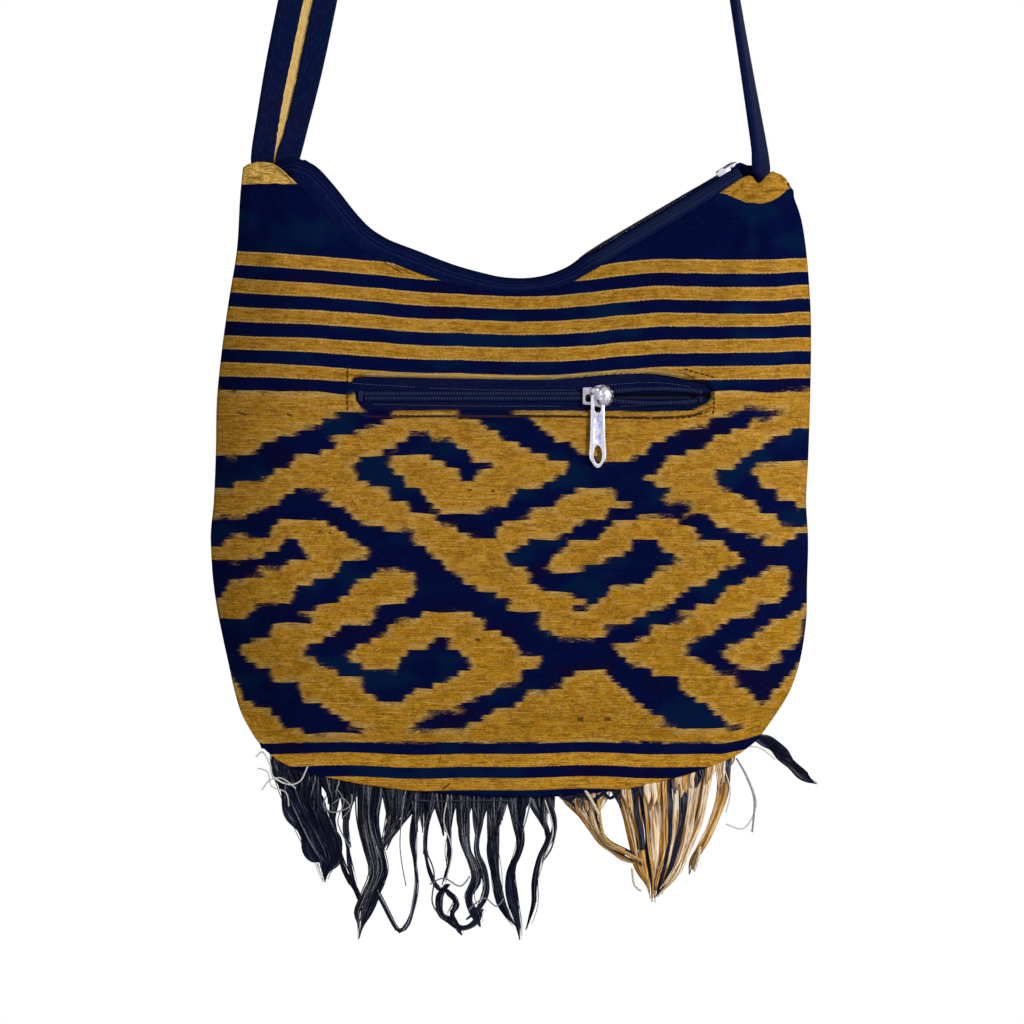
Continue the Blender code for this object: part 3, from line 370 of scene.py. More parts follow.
@dataclass(frozen=True)
class PatternField:
    """The dyed pattern as a field: distance to the nearest ochre edge, and how it changes downwards."""

    extra: tuple[Points, ...] = ()
    step: float = 2.0
    left: float = 196.0
    right: float = 832.0
    top: float = 150.0
    bottom: float = 806.0

    def corners(self, columns: np.ndarray, rows: np.ndarray) -> np.ndarray:
        """The distance from the edge of the two ochre corners that are sewn on, below 0 inside them."""
        return np.minimum(*(signed_distance(shape, columns, rows) for shape in CORNER_SHAPES))

    def table(self) -> np.ndarray:
        """The distances on an even grid over the whole front."""
        rows, columns = np.meshgrid(np.arange(self.top, self.bottom, self.step),
                                    np.arange(self.left, self.right, self.step), indexing="ij")
        nearest = np.full(columns.shape, 60.0)
        for shape in OCHRE_SHAPES + self.extra:
            nearest = np.minimum(nearest, signed_distance(shape, columns, rows))
        for shape in NAVY_SHAPES:
            nearest = np.maximum(nearest, -signed_distance(shape, columns, rows))
        return nearest

    def read(self, columns: np.ndarray, rows: np.ndarray) -> tuple[np.ndarray, np.ndarray]:
        """The field at points of the cloth.

        Args:
            columns: columns of the points.
            rows: rows of the points.

        Returns:
            The distance and its change for one row downwards, at each point.
        """
        table = self.table()
        slope = np.gradient(table, self.step, axis=0)
        c = np.clip((columns - self.left) / self.step, 0, table.shape[1] - 2)
        r = np.clip((rows - self.top) / self.step, 0, table.shape[0] - 2)
        ci, ri = np.floor(c).astype(int), np.floor(r).astype(int)
        fc, fr = c - ci, r - ri
        found = []
        for grid in (table, slope):
            upper = grid[ri, ci] * (1 - fc) + grid[ri, ci + 1] * fc
            lower = grid[ri + 1, ci] * (1 - fc) + grid[ri + 1, ci + 1] * fc
            found.append(upper * (1 - fr) + lower * fr)
        return found[0], found[1]


def straight_rows(columns: np.ndarray, rows: np.ndarray) -> np.ndarray:
    """The rows that points had on the flat cloth, before its stripes sagged.

    Args:
        columns: columns of the points on the hanging bag.
        rows: rows of the points on the hanging bag.

    Returns:
        The rows on the flat cloth.
    """
    knots, goals = [], []
    for goal, tops in STRIPE_TOPS.items():
        kernel = np.convolve(np.pad(np.array(tops, float), 1, "edge"), (0.2, 0.6, 0.2), "valid")
        curve = rounded(list(zip(STRIPE_COLUMNS, kernel)), 6)
        knots.append(np.interp(columns, curve[:, 0], curve[:, 1]))
        goals.append(float(goal))
    knots.append(np.full(columns.shape, LAST_STRAIGHT_ROW))
    goals.append(LAST_STRAIGHT_ROW)
    flat = np.where(rows < knots[0], rows - knots[0] + goals[0], rows)
    for i in range(len(goals) - 1):
        share = (rows - knots[i]) / (knots[i + 1] - knots[i])
        here = (share >= 0.0) & (share < 1.0)
        flat = np.where(here, goals[i] + share * (goals[i + 1] - goals[i]), flat)
    lift = np.interp(columns, (262, 300, 722, 745, 764), (-1.0, 0.0, 0.0, 5.0, 11.0))
    wave = 0.9 * np.sin(columns / 41.0) + 0.6 * np.sin(columns / 19.0 + 2.0)
    return flat + (lift + wave) * smooth((rows - 690.0) / 40.0)


class Signal:
    """A shader value that takes part in Python arithmetic; each operator adds a Math node."""

    def __init__(self, tree: bpy.types.NodeTree, socket: bpy.types.NodeSocket) -> None:
        """Holds the tree and the socket that carries the value."""
        self.tree = tree
        self.socket = socket

    def math(self, operation: str, *others: "Signal | float") -> "Signal":
        """A Math node of this value and others.

        Args:
            operation: the Math node's operation.
            others: its further inputs, values or numbers.

        Returns:
            The node's result.
        """
        return Signal.combine(self.tree, operation, self, *others)

    @staticmethod
    def combine(tree: bpy.types.NodeTree, operation: str, *values: "Signal | float") -> "Signal":
        """A Math node of any values.

        Args:
            tree: the tree that gets the node.
            operation: the Math node's operation.
            values: its inputs, in order.

        Returns:
            The node's result.
        """
        node = tree.nodes.new("ShaderNodeMath")
        node.operation = operation
        for slot, value in enumerate(values):
            if isinstance(value, Signal):
                tree.links.new(value.socket, node.inputs[slot])
            else:
                node.inputs[slot].default_value = float(value)
        return Signal(tree, node.outputs[0])

    def __add__(self, other: "Signal | float") -> "Signal":
        """The sum."""
        return self.math("ADD", other)

    __radd__ = __add__

    def __sub__(self, other: "Signal | float") -> "Signal":
        """The difference."""
        return self.math("SUBTRACT", other)

    def __rsub__(self, other: "Signal | float") -> "Signal":
        """The difference from a number."""
        return Signal.combine(self.tree, "SUBTRACT", other, self)

    def __mul__(self, other: "Signal | float") -> "Signal":
        """The product."""
        return self.math("MULTIPLY", other)

    __rmul__ = __mul__

    def __truediv__(self, other: "Signal | float") -> "Signal":
        """The quotient."""
        return self.math("DIVIDE", other)

    def floor(self) -> "Signal":
        """The whole number below."""
        return self.math("FLOOR")

    def fract(self) -> "Signal":
        """What is over the whole number below."""
        return self.math("FRACT")

    def abs(self) -> "Signal":
        """The size without its sign."""
        return self.math("ABSOLUTE")

    def wave(self) -> "Signal":
        """A sine that repeats for each whole step of the value, from 0 to 1."""
        return (self * (2 * math.pi)).math("SINE") * 0.5 + 0.5

    def larger(self, other: "Signal | float") -> "Signal":
        """The larger of two values."""
        return self.math("MAXIMUM", other)

    def smaller(self, other: "Signal | float") -> "Signal":
        """The smaller of two values."""
        return self.math("MINIMUM", other)


class Recipe:
    """A material's node tree, with short ways to add its nodes."""

    def __init__(self, name: str, **fixed: float | tuple) -> None:
        """Starts a material.

        Args:
            name: the material's name.
            fixed: values for the shader's own sockets, with _ for the spaces of their names.
        """
        self.material = bpy.data.materials.new(name)
        self.material.use_nodes = True
        self.tree = self.material.node_tree
        self.shader = self.tree.nodes["Principled BSDF"]
        for label, value in fixed.items():
            self.shader.inputs[label.replace("_", " ")].default_value = value

    def node(self, kind: str, settings: dict | None = None, inputs: dict | None = None) -> bpy.types.Node:
        """Any node.

        Args:
            kind: the node's type.
            settings: its properties, set first.
            inputs: values or Signals by socket name or number.

        Returns:
            The node.
        """
        made = self.tree.nodes.new(kind)
        for label, value in (settings or {}).items():
            setattr(made, label, value)
        for label, value in (inputs or {}).items():
            if isinstance(value, Signal):
                self.tree.links.new(value.socket, made.inputs[label])
            elif isinstance(value, tuple) and len(value) == 3 and made.inputs[label].type == "RGBA":
                made.inputs[label].default_value = (*value, 1.0)
            else:
                made.inputs[label].default_value = value
        return made

    def signal(self, node: bpy.types.Node, output: str | int = 0) -> Signal:
        """A node's output as a value."""
        return Signal(self.tree, node.outputs[output])

    def uv(self) -> tuple[Signal, Signal]:
        """The two values of the piece's UV map."""
        split = self.node("ShaderNodeSeparateXYZ", inputs={0: self.signal(self.node("ShaderNodeUVMap"))})
        return self.signal(split, 0), self.signal(split, 1)

    def attribute(self, name: str) -> Signal:
        """A number kept on the piece's points."""
        return self.signal(self.node("ShaderNodeAttribute", {"attribute_name": name}), "Fac")

    def object_point(self) -> Signal:
        """The point in the piece's own coordinates."""
        return self.signal(self.node("ShaderNodeTexCoord"), "Object")

    def vector(self, x: Signal | float, y: Signal | float, z: Signal | float = 0.0) -> Signal:
        """A vector of three values."""
        return self.signal(self.node("ShaderNodeCombineXYZ", inputs={0: x, 1: y, 2: z}))

    def noise(self, point: Signal, scale: float, detail: float = 2.0, rough: float = 0.55) -> Signal:
        """Soft noise from 0 to 1.

        Args:
            point: where it is read.
            scale: its spots for each unit.
            detail: how many finer layers it has.
            rough: how strong those are.

        Returns:
            The noise.
        """
        made = self.node("ShaderNodeTexNoise", {"noise_dimensions": "3D"},
                         {"Vector": point, "Scale": scale, "Detail": detail, "Roughness": rough})
        return self.signal(made, "Fac")

    def spots(self, x: Signal | float, y: Signal | float, z: Signal | float = 0.0, detail: float = 2.0,
              rough: float = 0.55) -> Signal:
        """Soft noise over values of the maker's choice, one spot for each unit.

        Args:
            x: the first value.
            y: the second value.
            z: the third value.
            detail: how many finer layers it has.
            rough: how strong those are.

        Returns:
            The noise from 0 to 1.
        """
        return self.noise(self.vector(x, y, z), 1.0, detail, rough)

    def fall(self, value: Signal, low: float, high: float) -> Signal:
        """A soft step from 1 to 0 as the value goes from low to high."""
        return 1.0 - self.ramp(value, low, high)

    def between(self, value: Signal, start: Pair, end: Pair) -> Signal:
        """1 between two soft edges: it rises over start's two values and falls over end's."""
        return self.ramp(value, *start) * self.fall(value, *end)

    def layers(self, colour: Signal | tuple, *coats: tuple) -> Signal:
        """Lays coats over a colour, each a share and its own colour."""
        for share, coat in coats:
            colour = self.mix(share, colour, coat)
        return colour

    def ramp(self, value: Signal, low: float, high: float) -> Signal:
        """A soft step from 0 to 1 as the value goes from low to high."""
        made = self.node("ShaderNodeMapRange", {"interpolation_type": "SMOOTHSTEP"},
                         {"Value": value, "From Min": low, "From Max": high})
        return self.signal(made)

    def mix(self, share: Signal | float, first: Signal | tuple, second: Signal | tuple) -> Signal:
        """A mix of two colours.

        Args:
            share: how much of the second there is.
            first: the first colour.
            second: the second colour.

        Returns:
            The colour.
        """
        made = self.node("ShaderNodeMix", {"data_type": "RGBA"}, {0: share, 6: first, 7: second})
        return self.signal(made, 2)

    def relief(self, heights: Signal, millimetres: float, before: Signal | None = None) -> Signal:
        """A bump.

        Args:
            heights: the relief from 0 to 1.
            millimetres: how high 1 is.
            before: another bump that it lies on.

        Returns:
            The normal.
        """
        inputs = {"Height": heights, "Distance": millimetres / 1000.0, "Strength": 1.0}
        if before is not None:
            inputs["Normal"] = before
        return self.signal(self.node("ShaderNodeBump", inputs=inputs))

    def finish(self, **sockets: Signal) -> bpy.types.Material:
        """Links values to the shader's sockets.

        Args:
            sockets: the values, with _ for the spaces of the sockets' names.

        Returns:
            The material.
        """
        for label, value in sockets.items():
            self.tree.links.new(value.socket, self.shader.inputs[label.replace("_", " ")])
        return self.material


@dataclass(frozen=True)
class HandwovenCloth:
    """Cotton woven by hand, its pattern dyed into bundles of weft before weaving."""

    ochre: tuple = (0.43, 0.205, 0.016)
    ochre_low: tuple = (0.405, 0.190, 0.007)
    ochre_dark: tuple = (0.17, 0.070, 0.006)
    cream: tuple = (0.62, 0.43, 0.145)
    brown: tuple = (0.045, 0.016, 0.010)
    navy: tuple = (0.0005, 0.0028, 0.034)
    teal: tuple = (0.0004, 0.0085, 0.040)
    plum: tuple = (0.0026, 0.0016, 0.024)
    light_thread: tuple = (0.0030, 0.0130, 0.074)
    bright: tuple = (0.60, 0.29, 0.022)
    corner_gold: tuple = (0.92, 0.58, 0.14)
    bundle: float = 6.5
    stripe_start: float = 250.0
    stripe_pitch: float = 28.0
    low_start: float = 753.6
    low_pitch: float = 24.0
    weft_pitch: float = 1.62
    warp_pitch: float = 1.9
    slit_line: float = 2.9
    marks: tuple = ((242, 413.5, 6, -0.35, 1.3), (289.5, 414.5, 3.4, -0.3, 1.2), (470, 490, 2.2, 0.0, 1.2),
                    (493, 491, 2.2, 0.0, 1.2), (320, 531.5, 2, 0.3, 1.3), (330, 533, 1.6, 0.0, 1.3),
                    (580.5, 720.5, 3.6, 0.0, 2.4), (607.5, 720, 4.2, 0.0, 2.2), (354, 503, 3.0, -1.7, 0.9),
                    (440, 758, 1.3, 4.0, 2.4), (446, 786, 5, 0.8, 1.6), (478, 640, 2.6, 0.0, 1.6),
                    (283.5, 170, 9, -0.87, 1.1), (277, 166.5, 5, -0.9, 0.5), (262, 170.5, 9, -0.08, 0.45),
                    (393, 255.0, 12, -0.5, 0.9), (404, 256.5, 12, -0.4, 0.6), (689, 372, 7, -0.5, 1.0),
                    (700, 378, 6, -0.3, 0.8))
    # fold lines painted darker as the shade in the cloth's folds: column, row, half length, lean and half
    # width
    folds: tuple = ((742, 175, 3.5, 1.4, 3.4), (735, 182, 6, 0.6, 2.4), (751, 187, 9, 0.15, 2.6),
                    (771, 181, 8, 0.4, 2.2), (726, 182, 6, 0.1, 1.4), (255, 176, 10, 0.1, 1.6),
                    (265, 164, 9, 0.3, 1.2))

    def dye(self, recipe: Recipe, column: Signal, row: Signal) -> tuple[Signal, Signal, Signal]:
        """Where the ochre shows: the dyed figures in stepped, feathered bundles, the stripes and the corners.

        Args:
            recipe: the material that gets the nodes.
            column: the grid column on the flat cloth.
            row: the grid row on the flat cloth.

        Returns:
            The share of ochre, the share of pale thread ends and the share of the sewn-on corners.
        """
        ramp, fall, between, spots = recipe.ramp, recipe.fall, recipe.between, recipe.spots
        edge, slope = recipe.attribute("pattern"), recipe.attribute("pattern_slope")
        bent = row + (spots(column / 60.0, row / 34.0, 9.0, 1.0) - 0.5) * 9.0
        bundle = (bent / self.bundle).floor()
        lean = (((bundle + 0.5) * self.bundle - bent) * slope * 0.8).larger(-2.6).smaller(2.6)
        sway = spots(column / 30.0, bundle * 3.17, detail=1.0) - 0.5
        dash = spots(column / 8.0, (row / 1.25).floor() * 2.71, 4.0, 1.0) - 0.5
        fine = spots(column / 3.5, (row / 0.9).floor() * 1.9, 2.0, 1.0) - 0.5
        reach = edge + lean + sway * 7.0 + dash * 4.2 + fine * 2.6
        dyed = fall(reach / (7.6 - slope.abs() * 4.8), -1.0, 1.0) * fall(row, 742.6, 744.2)

        saw = (spots(column / 1.5, (row / 6.0).floor(), 8.0, 0.0) - 0.5) * 1.9
        wander = (spots(column / 26.0, 3.0) - 0.5) * 2.2
        upper = between(row, (245.0, 247.0), (381.0, 383.0))
        within = ((row - self.stripe_start + wander) / self.stripe_pitch).fract() * self.stripe_pitch
        inner = (within - 7.3).abs() + saw
        within = ((row - self.low_start + wander * 0.4) / self.low_pitch).fract() * self.low_pitch
        low = fall((within - 6.3).abs() + saw, 6.1, 7.1) * ramp(row, 748.0, 750.0) * fall(row, 789.0, 790.5)
        sewn = fall(recipe.attribute("corner") + dash * 1.6, -0.5, 0.5)

        tip = between(reach, (-5.5, -0.5), (0.0, 2.0)) * ramp(edge, -10.0, -3.0)
        tip = tip * (0.2 + dash.abs() * 2.2) * (1.0 - upper)
        beads = between(inner, (4.9, 6.4), (7.0, 7.8)) * upper
        beads = beads * ramp(spots(column / 1.3, bundle, 6.0, 0.0), 0.4, 0.6)
        ochre = dyed.larger(fall(inner, 6.6, 7.6) * upper).larger(low).larger(sewn)
        return ochre, tip.larger(beads * 0.8), sewn

    @staticmethod
    def strokes(recipe: Recipe, column: Signal, row: Signal, lines: Sequence[tuple], core: Pair,
                ends: float) -> Signal:
        """Short leaning strokes on the cloth.

        Args:
            recipe: the material that gets the nodes.
            column: the grid column on the flat cloth.
            row: the grid row on the flat cloth.
            lines: column, row, half length, lean and half width of each stroke.
            core: where a stroke starts and stops to fade, in half widths.
            ends: where its ends start to fade, in half lengths.

        Returns:
            1 on a stroke and 0 beside it.
        """
        found = None
        for line_column, line_row, length, lean, wide in lines:
            dx, dy = column - line_column, row - line_row
            stroke = (recipe.fall((dy + dx * lean).abs(), wide * core[0], wide * core[1])
                      * recipe.fall(dx.abs(), length * ends, length))
            found = stroke if found is None else found.larger(stroke)
        return found

    def worn(self, recipe: Recipe, colour: Signal, column: Signal, row: Signal) -> Signal:
        """Adds the slit's pale lip, painted shade in the crease under it and in the folds, and the dark
        flecks.

        Args:
            recipe: the material that gets the nodes.
            colour: the colour so far.
            column: the grid column on the flat cloth.
            row: the grid row on the flat cloth.

        Returns:
            The colour with the marks and the painted shade.
        """
        ramp, fall = recipe.ramp, recipe.fall
        slit = recipe.attribute("slit")
        along = recipe.between(column, (362.0, 372.0), (676.0, 692.0))
        lip = along * fall(row, 380.0, 384.0) * fall(slit, 1.5, 2.1)
        below = ramp(row, 403.0, 407.0) * ramp(column, 340.0, 400.0)
        stretch = ramp(recipe.spots(column / 14.0, 1.0, detail=1.0), 0.36, 0.5) * 0.45 + 0.5
        # painted shade: a dark brown line where the cloth creases under the slit
        crease_shade = below * fall((slit - self.slit_line).abs(), 0.2, 0.75) * stretch
        # painted shade: the fold lines darken the cloth as the shade of its folds
        folds = self.strokes(recipe, column, row, self.folds, (0.2, 1.6), 0.3)
        marks = self.strokes(recipe, column, row, self.marks, (0.5, 1.3), 0.6)
        return recipe.layers(colour, (lip * 0.6, self.cream), (crease_shade, self.brown),
                             (folds * 0.62, self.ochre_dark), (marks * 0.8, self.brown))

    def make(self) -> bpy.types.Material:
        """Mixes the cloth's material."""
        recipe = Recipe("handwoven_cloth", Roughness=0.94, Specular_IOR_Level=0.02)
        ramp, spots = recipe.ramp, recipe.spots
        u, v = recipe.uv()
        column, row = u * GRID_SIZE, v * GRID_SIZE
        ochre, tip, sewn = self.dye(recipe, column, row)
        streak = spots(column / 16.0, row / 1.5, 1.5, 3.0, 0.62)
        grain = spots(column / 2.4, row / 1.2, 2.5, 2.0, 0.6)
        speck = spots(column / 1.9, row / 1.9, 5.5, 2.0, 0.7)
        blotch = spots(column / 7.0, row / 4.0, 8.5, 3.0, 0.6)
        cloud = spots(column / 80.0, row / 50.0, 7.0)
        gold = recipe.layers(
            recipe.mix(ramp(row, 430.0, 680.0), self.ochre, self.ochre_low),
            (ramp(row, 742.0, 764.0) * 0.85, self.bright),
            (sewn * recipe.fall(column, 300.0, 340.0) * 0.85, self.corner_gold),
            (ramp(streak, 0.52, 0.72) * 0.5, self.cream),
            (ramp(streak, 0.5, 0.32) * 0.72, self.ochre_dark),
            (ramp(grain, 0.5, 0.28) * 0.7, self.ochre_dark),
            (ramp(speck, 0.47, 0.25) * 0.75, self.ochre_dark),
            (ramp(speck, 0.54, 0.74) * 0.6, self.cream),
            (ramp(blotch, 0.5, 0.66) * 0.42, self.ochre_dark),
            (ramp(blotch, 0.48, 0.34) * 0.35, self.bright),
            (ramp(cloud, 0.56, 0.72) * 0.2, self.ochre_dark),
            (tip.smaller(0.8), self.cream))
        blue = recipe.layers(
            recipe.mix(ramp(cloud, 0.5, 0.64), self.navy, self.teal),
            (ramp(cloud, 0.46, 0.34) * ramp(row, 255.0, 275.0), self.plum),
            (ramp(speck * 0.6 + grain * 0.4, 0.5, 0.68) * 0.5, self.light_thread))
        half = recipe.mix(0.34, self.brown, gold)
        colour = recipe.layers(blue, (ramp(ochre, 0.05, 0.6), half), (ramp(ochre, 0.3, 0.95), gold))
        colour = self.worn(recipe, colour, column, row)

        weft = (row / self.weft_pitch + streak * 0.8).wave()
        warp = (column / self.warp_pitch + (row / self.weft_pitch).floor() * 0.5).wave()
        ridge = ((row / self.bundle).fract() - 0.5).abs() * 2.0
        heights = weft * (0.35 + warp * 0.45) + streak * 0.9 + grain * 0.9 + speck * 0.5 - ridge * ridge * 0.3
        # painted shade between the threads: the colour darkens towards black where the weave dips
        colour = recipe.mix((1.0 - weft * (0.6 + warp * 0.4)) * 0.26, colour, BLACK)
        return recipe.finish(Base_Color=colour, Roughness=0.88 + streak * 0.1,
                             Normal=recipe.relief(heights, 0.3))


@dataclass(frozen=True)
class NavyBand:
    """Navy woven band or tape, with the warp lines that run along it."""

    name: str
    base: tuple = (0.0010, 0.0045, 0.032)
    lit: tuple = (0.005, 0.013, 0.056)
    plum: tuple = (0.0036, 0.0042, 0.031)
    gold: tuple = (0.50, 0.31, 0.08)
    pale_gold: tuple = (0.62, 0.44, 0.17)
    # painted highlight colour for the facing's rolled front edge
    faded: tuple = (0.011, 0.022, 0.060)
    # painted shadow colour for the strip of facing beside the coil
    edge: tuple = (0.0012, 0.0012, 0.010)
    # painted shade colour for the groove lines and painted highlight colour for the ridge beside them
    groove: tuple = (0.0006, 0.0010, 0.012)
    ridge: tuple = (0.013, 0.018, 0.066)
    pitch: float = 0.75
    worn_edges: bool = False
    lines: tuple = ()
    light_after: float = 0.0

    def make(self) -> bpy.types.Material:
        """Mixes the band's material; its UV map holds metres across and along."""
        recipe = Recipe(self.name, Roughness=0.9, Specular_IOR_Level=0.03)
        ramp, fall, spots = recipe.ramp, recipe.fall, recipe.spots
        u, v = recipe.uv()
        side, along = u * 1000.0, v * 1000.0
        ribs = (side / self.pitch).wave()
        picks = (along / 0.8 + (side / self.pitch).floor() * 0.5).wave()
        grain = spots(side / 1.2, along / 3.0, 0.0, 3.0, 0.6)
        cloud = spots(side / 14.0, along / 30.0, 5.0)
        colour = recipe.mix(ramp(cloud, 0.4, 0.65), self.base, self.plum)
        colour = recipe.mix(ramp(grain, 0.42, 0.72) * 0.7, colour, self.lit)
        if self.light_after:
            # painted highlight along the facing's rolled front edge past light_after, and painted shadow on
            # the strip beside the coil
            band = ramp(along, self.light_after, self.light_after + 14.0)
            band = band * ramp(side, 2.9, 3.8) * fall(side, 6.2, 10.5)
            colour = recipe.layers(colour, (band * 0.7, self.faded), (fall(side, 2.2, 3.2) * 0.6, self.edge))
        # painted shade between the ribs: the colour darkens towards black in the dips of the weave
        colour = recipe.mix((1.0 - ribs) * 0.3, colour, BLACK)
        heights = ribs * (0.5 + picks * 0.5) + grain * 0.8
        for spot in self.lines:
            line = fall((side - spot).abs(), 0.1, 0.42)
            glow = fall((side - spot - 0.75).abs(), 0.15, 0.5)
            # painted shade in each groove line, and a painted highlight on the ridge just beside it
            colour = recipe.layers(colour, (line * 0.5, self.groove), (glow * 0.3, self.ridge))
            heights = heights - line * 0.7
        if self.worn_edges:
            thread = ramp(spots(side / 0.5, along / 3.0, 9.0), 0.35, 0.7)
            yellow = recipe.mix(thread, self.gold, self.pale_gold)
            colour = recipe.mix(ramp(recipe.attribute("gold"), 0.35, 0.75), colour, yellow)
        return recipe.finish(Base_Color=colour, Roughness=0.82 + grain * 0.16,
                             Normal=recipe.relief(heights, 0.16))


@dataclass(frozen=True)
class YarnBundle:
    """Many fine yarns side by side, as they lie inside a hank."""

    name: str
    dark: tuple
    middle: tuple
    light: tuple
    strands: float = 15.0
    frayed: tuple = (0.36, 0.37, 0.40)

    def make(self) -> bpy.types.Material:
        """Mixes the bundle's material; its UV map holds turns around and metres along."""
        recipe = Recipe(self.name, Roughness=0.86, Specular_IOR_Level=0.06)
        ramp, spots = recipe.ramp, recipe.spots
        u, v = recipe.uv()
        tone, along = recipe.attribute("tone"), v * 1000.0
        lines = spots(u * self.strands + tone * 40.0, along / 22.0, 0.0, 2.0, 0.6)
        fine = spots(u * self.strands * 3.5, along / 7.0, 3.0 + tone)
        # fuzz and painted highlight: pale strands near the top of the hank, full within 14 mm of the seam and
        # gone by 36 mm
        upper = ramp(along, 36.0, 14.0) * ramp(lines * 0.5 + fine * 0.5, 0.54, 0.62)
        colour = recipe.layers(
            recipe.mix(ramp(lines, 0.42, 0.54), self.dark, self.middle),
            (ramp(lines * 0.6 + fine * 0.4, 0.52, 0.62), self.light),
            (ramp(fine, 0.5, 0.3) * 0.6, self.dark),
            (upper * 0.8, self.frayed))
        return recipe.finish(Base_Color=colour, Roughness=0.8 + fine * 0.15,
                             Normal=recipe.relief(lines + fine * 0.8, 0.5))


@dataclass(frozen=True)
class Yarn:
    """Two-ply cotton yarn, its plies drawn along the twist."""

    name: str
    dark: tuple
    light: tuple
    twist: float = 2.4

    def make(self) -> bpy.types.Material:
        """Mixes the yarn's material; its UV map holds turns around and metres along."""
        recipe = Recipe(self.name, Roughness=0.8, Specular_IOR_Level=0.1)
        u, v = recipe.uv()
        along = v * 1000.0
        ply = (u * 2.0 + along / self.twist).wave()
        fuzz = recipe.spots(u * 6.0, along / 1.6, 1.0, 3.0, 0.7)
        # painted shade between the plies: the yarn darkens where the twist dips
        colour = recipe.layers(
            self.dark,
            ((recipe.attribute("tone") * 0.75 + fuzz * 0.35).smaller(1.0), self.light),
            ((1.0 - ply) * 0.55, self.dark))
        return recipe.finish(Base_Color=colour, Roughness=0.75 + fuzz * 0.2,
                             Normal=recipe.relief(ply + fuzz * 0.5, 0.25))


@dataclass(frozen=True)
class PlatedMetal:
    """Bright plating with fine wear as on common zip sliders, with painted shade and painted dark
    reflections.
    """

    base: tuple = (0.58, 0.57, 0.66)
    worn: tuple = (0.17, 0.15, 0.19)
    shade: tuple = (0.085, 0.075, 0.110)
    hollow: tuple = (0.30, 0.31, 0.50)
    dark: tuple = (0.020, 0.012, 0.020)

    def make(self) -> bpy.types.Material:
        """Mixes the metal's material; attributes keep the hollows, swirls and dark parts that get painted
        shade, reflections and shadow.
        """
        recipe = Recipe("plated_metal", Metallic=1.0, Roughness=0.3)
        ramp, attribute = recipe.ramp, recipe.attribute
        point = recipe.object_point()
        cloud = recipe.noise(point, 620.0, 3.0)
        scuff = recipe.noise(point, 2200.0, 3.0, 0.7)
        swirl = recipe.noise(point, 340.0, 4.0, 0.6)
        hollow = attribute("hollow")
        dark_reflection_streaks = ramp((swirl - 0.47).abs(), 0.045, 0.01) * 0.75 + ramp(swirl, 0.54, 0.62) * 0.85
        colour = recipe.layers(
            self.base,
            (ramp(scuff, 0.55, 0.75) * 0.45, self.worn),
            # painted shade in the pull's recessed middle, mottled by noise
            (hollow * ramp(cloud, 0.36, 0.6), self.hollow),
            # painted dark reflections: swirling streaks in the shade colour
            ((attribute("swirl") * dark_reflection_streaks).smaller(0.85), self.shade),
            # painted shade and shadow on the parts that are kept as dark
            (attribute("dark"), self.dark))
        rough = 0.2 + cloud * 0.16 + ramp(scuff, 0.5, 0.8) * 0.22 + hollow * 0.12
        return recipe.finish(Base_Color=colour, Roughness=rough,
                             Normal=recipe.relief(cloud + scuff * 0.4 + swirl * 0.6, 0.12))


@dataclass(frozen=True)
class SatinNylon:
    """Navy nylon of the zip coils."""

    base: tuple = (0.0016, 0.0042, 0.030)
    lit: tuple = (0.0050, 0.0095, 0.044)

    def make(self) -> bpy.types.Material:
        """Mixes the nylon's material."""
        recipe = Recipe("satin_nylon", Roughness=0.5, Specular_IOR_Level=0.1)
        grain = recipe.noise(recipe.object_point(), 900.0)
        colour = recipe.mix(recipe.ramp(grain, 0.4, 0.7), self.base, self.lit)
        return recipe.finish(Base_Color=colour, Roughness=0.34 + grain * 0.25,
                             Normal=recipe.relief(grain, 0.06))


@dataclass(frozen=True)
class PlainCotton:
    """Plain beige cotton of the lining, or another thin plain weave."""

    name: str = "lining_cotton"
    base: tuple = (0.44, 0.36, 0.25)
    dark: tuple = (0.27, 0.21, 0.14)
    pitch: float = 0.7

    def make(self) -> bpy.types.Material:
        """Mixes the cotton's material."""
        recipe = Recipe(self.name, Roughness=0.9, Sheen_Weight=0.1, Specular_IOR_Level=0.2)
        split = recipe.node("ShaderNodeSeparateXYZ", inputs={0: recipe.object_point()})
        side, up = recipe.signal(split, 0) * 1000.0, recipe.signal(split, 2) * 1000.0
        weave = (up / self.pitch).wave() * (side / self.pitch).wave()
        cloud = recipe.spots(side / 20.0, up / 20.0, detail=3.0)
        shade = recipe.ramp(cloud, 0.35, 0.7) * 0.35 + (1.0 - weave) * 0.25
        return recipe.finish(Base_Color=recipe.mix(shade, self.base, self.dark), Roughness=0.85 + cloud * 0.1,
                             Normal=recipe.relief(weave + cloud, 0.12))


def new_piece(name: str, points: np.ndarray, faces: list, material: bpy.types.Material,
              uv: np.ndarray | None = None) -> bpy.types.Object:
    """A mesh piece in the row frame.

    Args:
        name: the piece's name.
        points: its points in the bag's millimetres.
        faces: its faces as point numbers.
        material: its finish.
        uv: two values a point for its UV map.

    Returns:
        The piece.
    """
    mesh = bpy.data.meshes.new(name)
    mesh.from_pydata(place(points).tolist(), [], faces)
    mesh.validate()
    if uv is not None:
        layer = mesh.uv_layers.new(name="UVMap")
        corners = np.zeros(len(mesh.loops), np.int32)
        mesh.loops.foreach_get("vertex_index", corners)
        layer.data.foreach_set("uv", np.asarray(uv, np.float32)[corners].ravel())
    mesh.materials.append(material)
    made = bpy.data.objects.new(name, mesh)
    bpy.context.scene.collection.objects.link(made)
    mesh.shade_smooth()
    return made


def keep_value(made: bpy.types.Object, name: str, values: np.ndarray) -> None:
    """Keeps a number on each point of a piece."""
    layer = made.data.attributes.new(name, "FLOAT", "POINT")
    layer.data.foreach_set("value", np.asarray(values, np.float32))


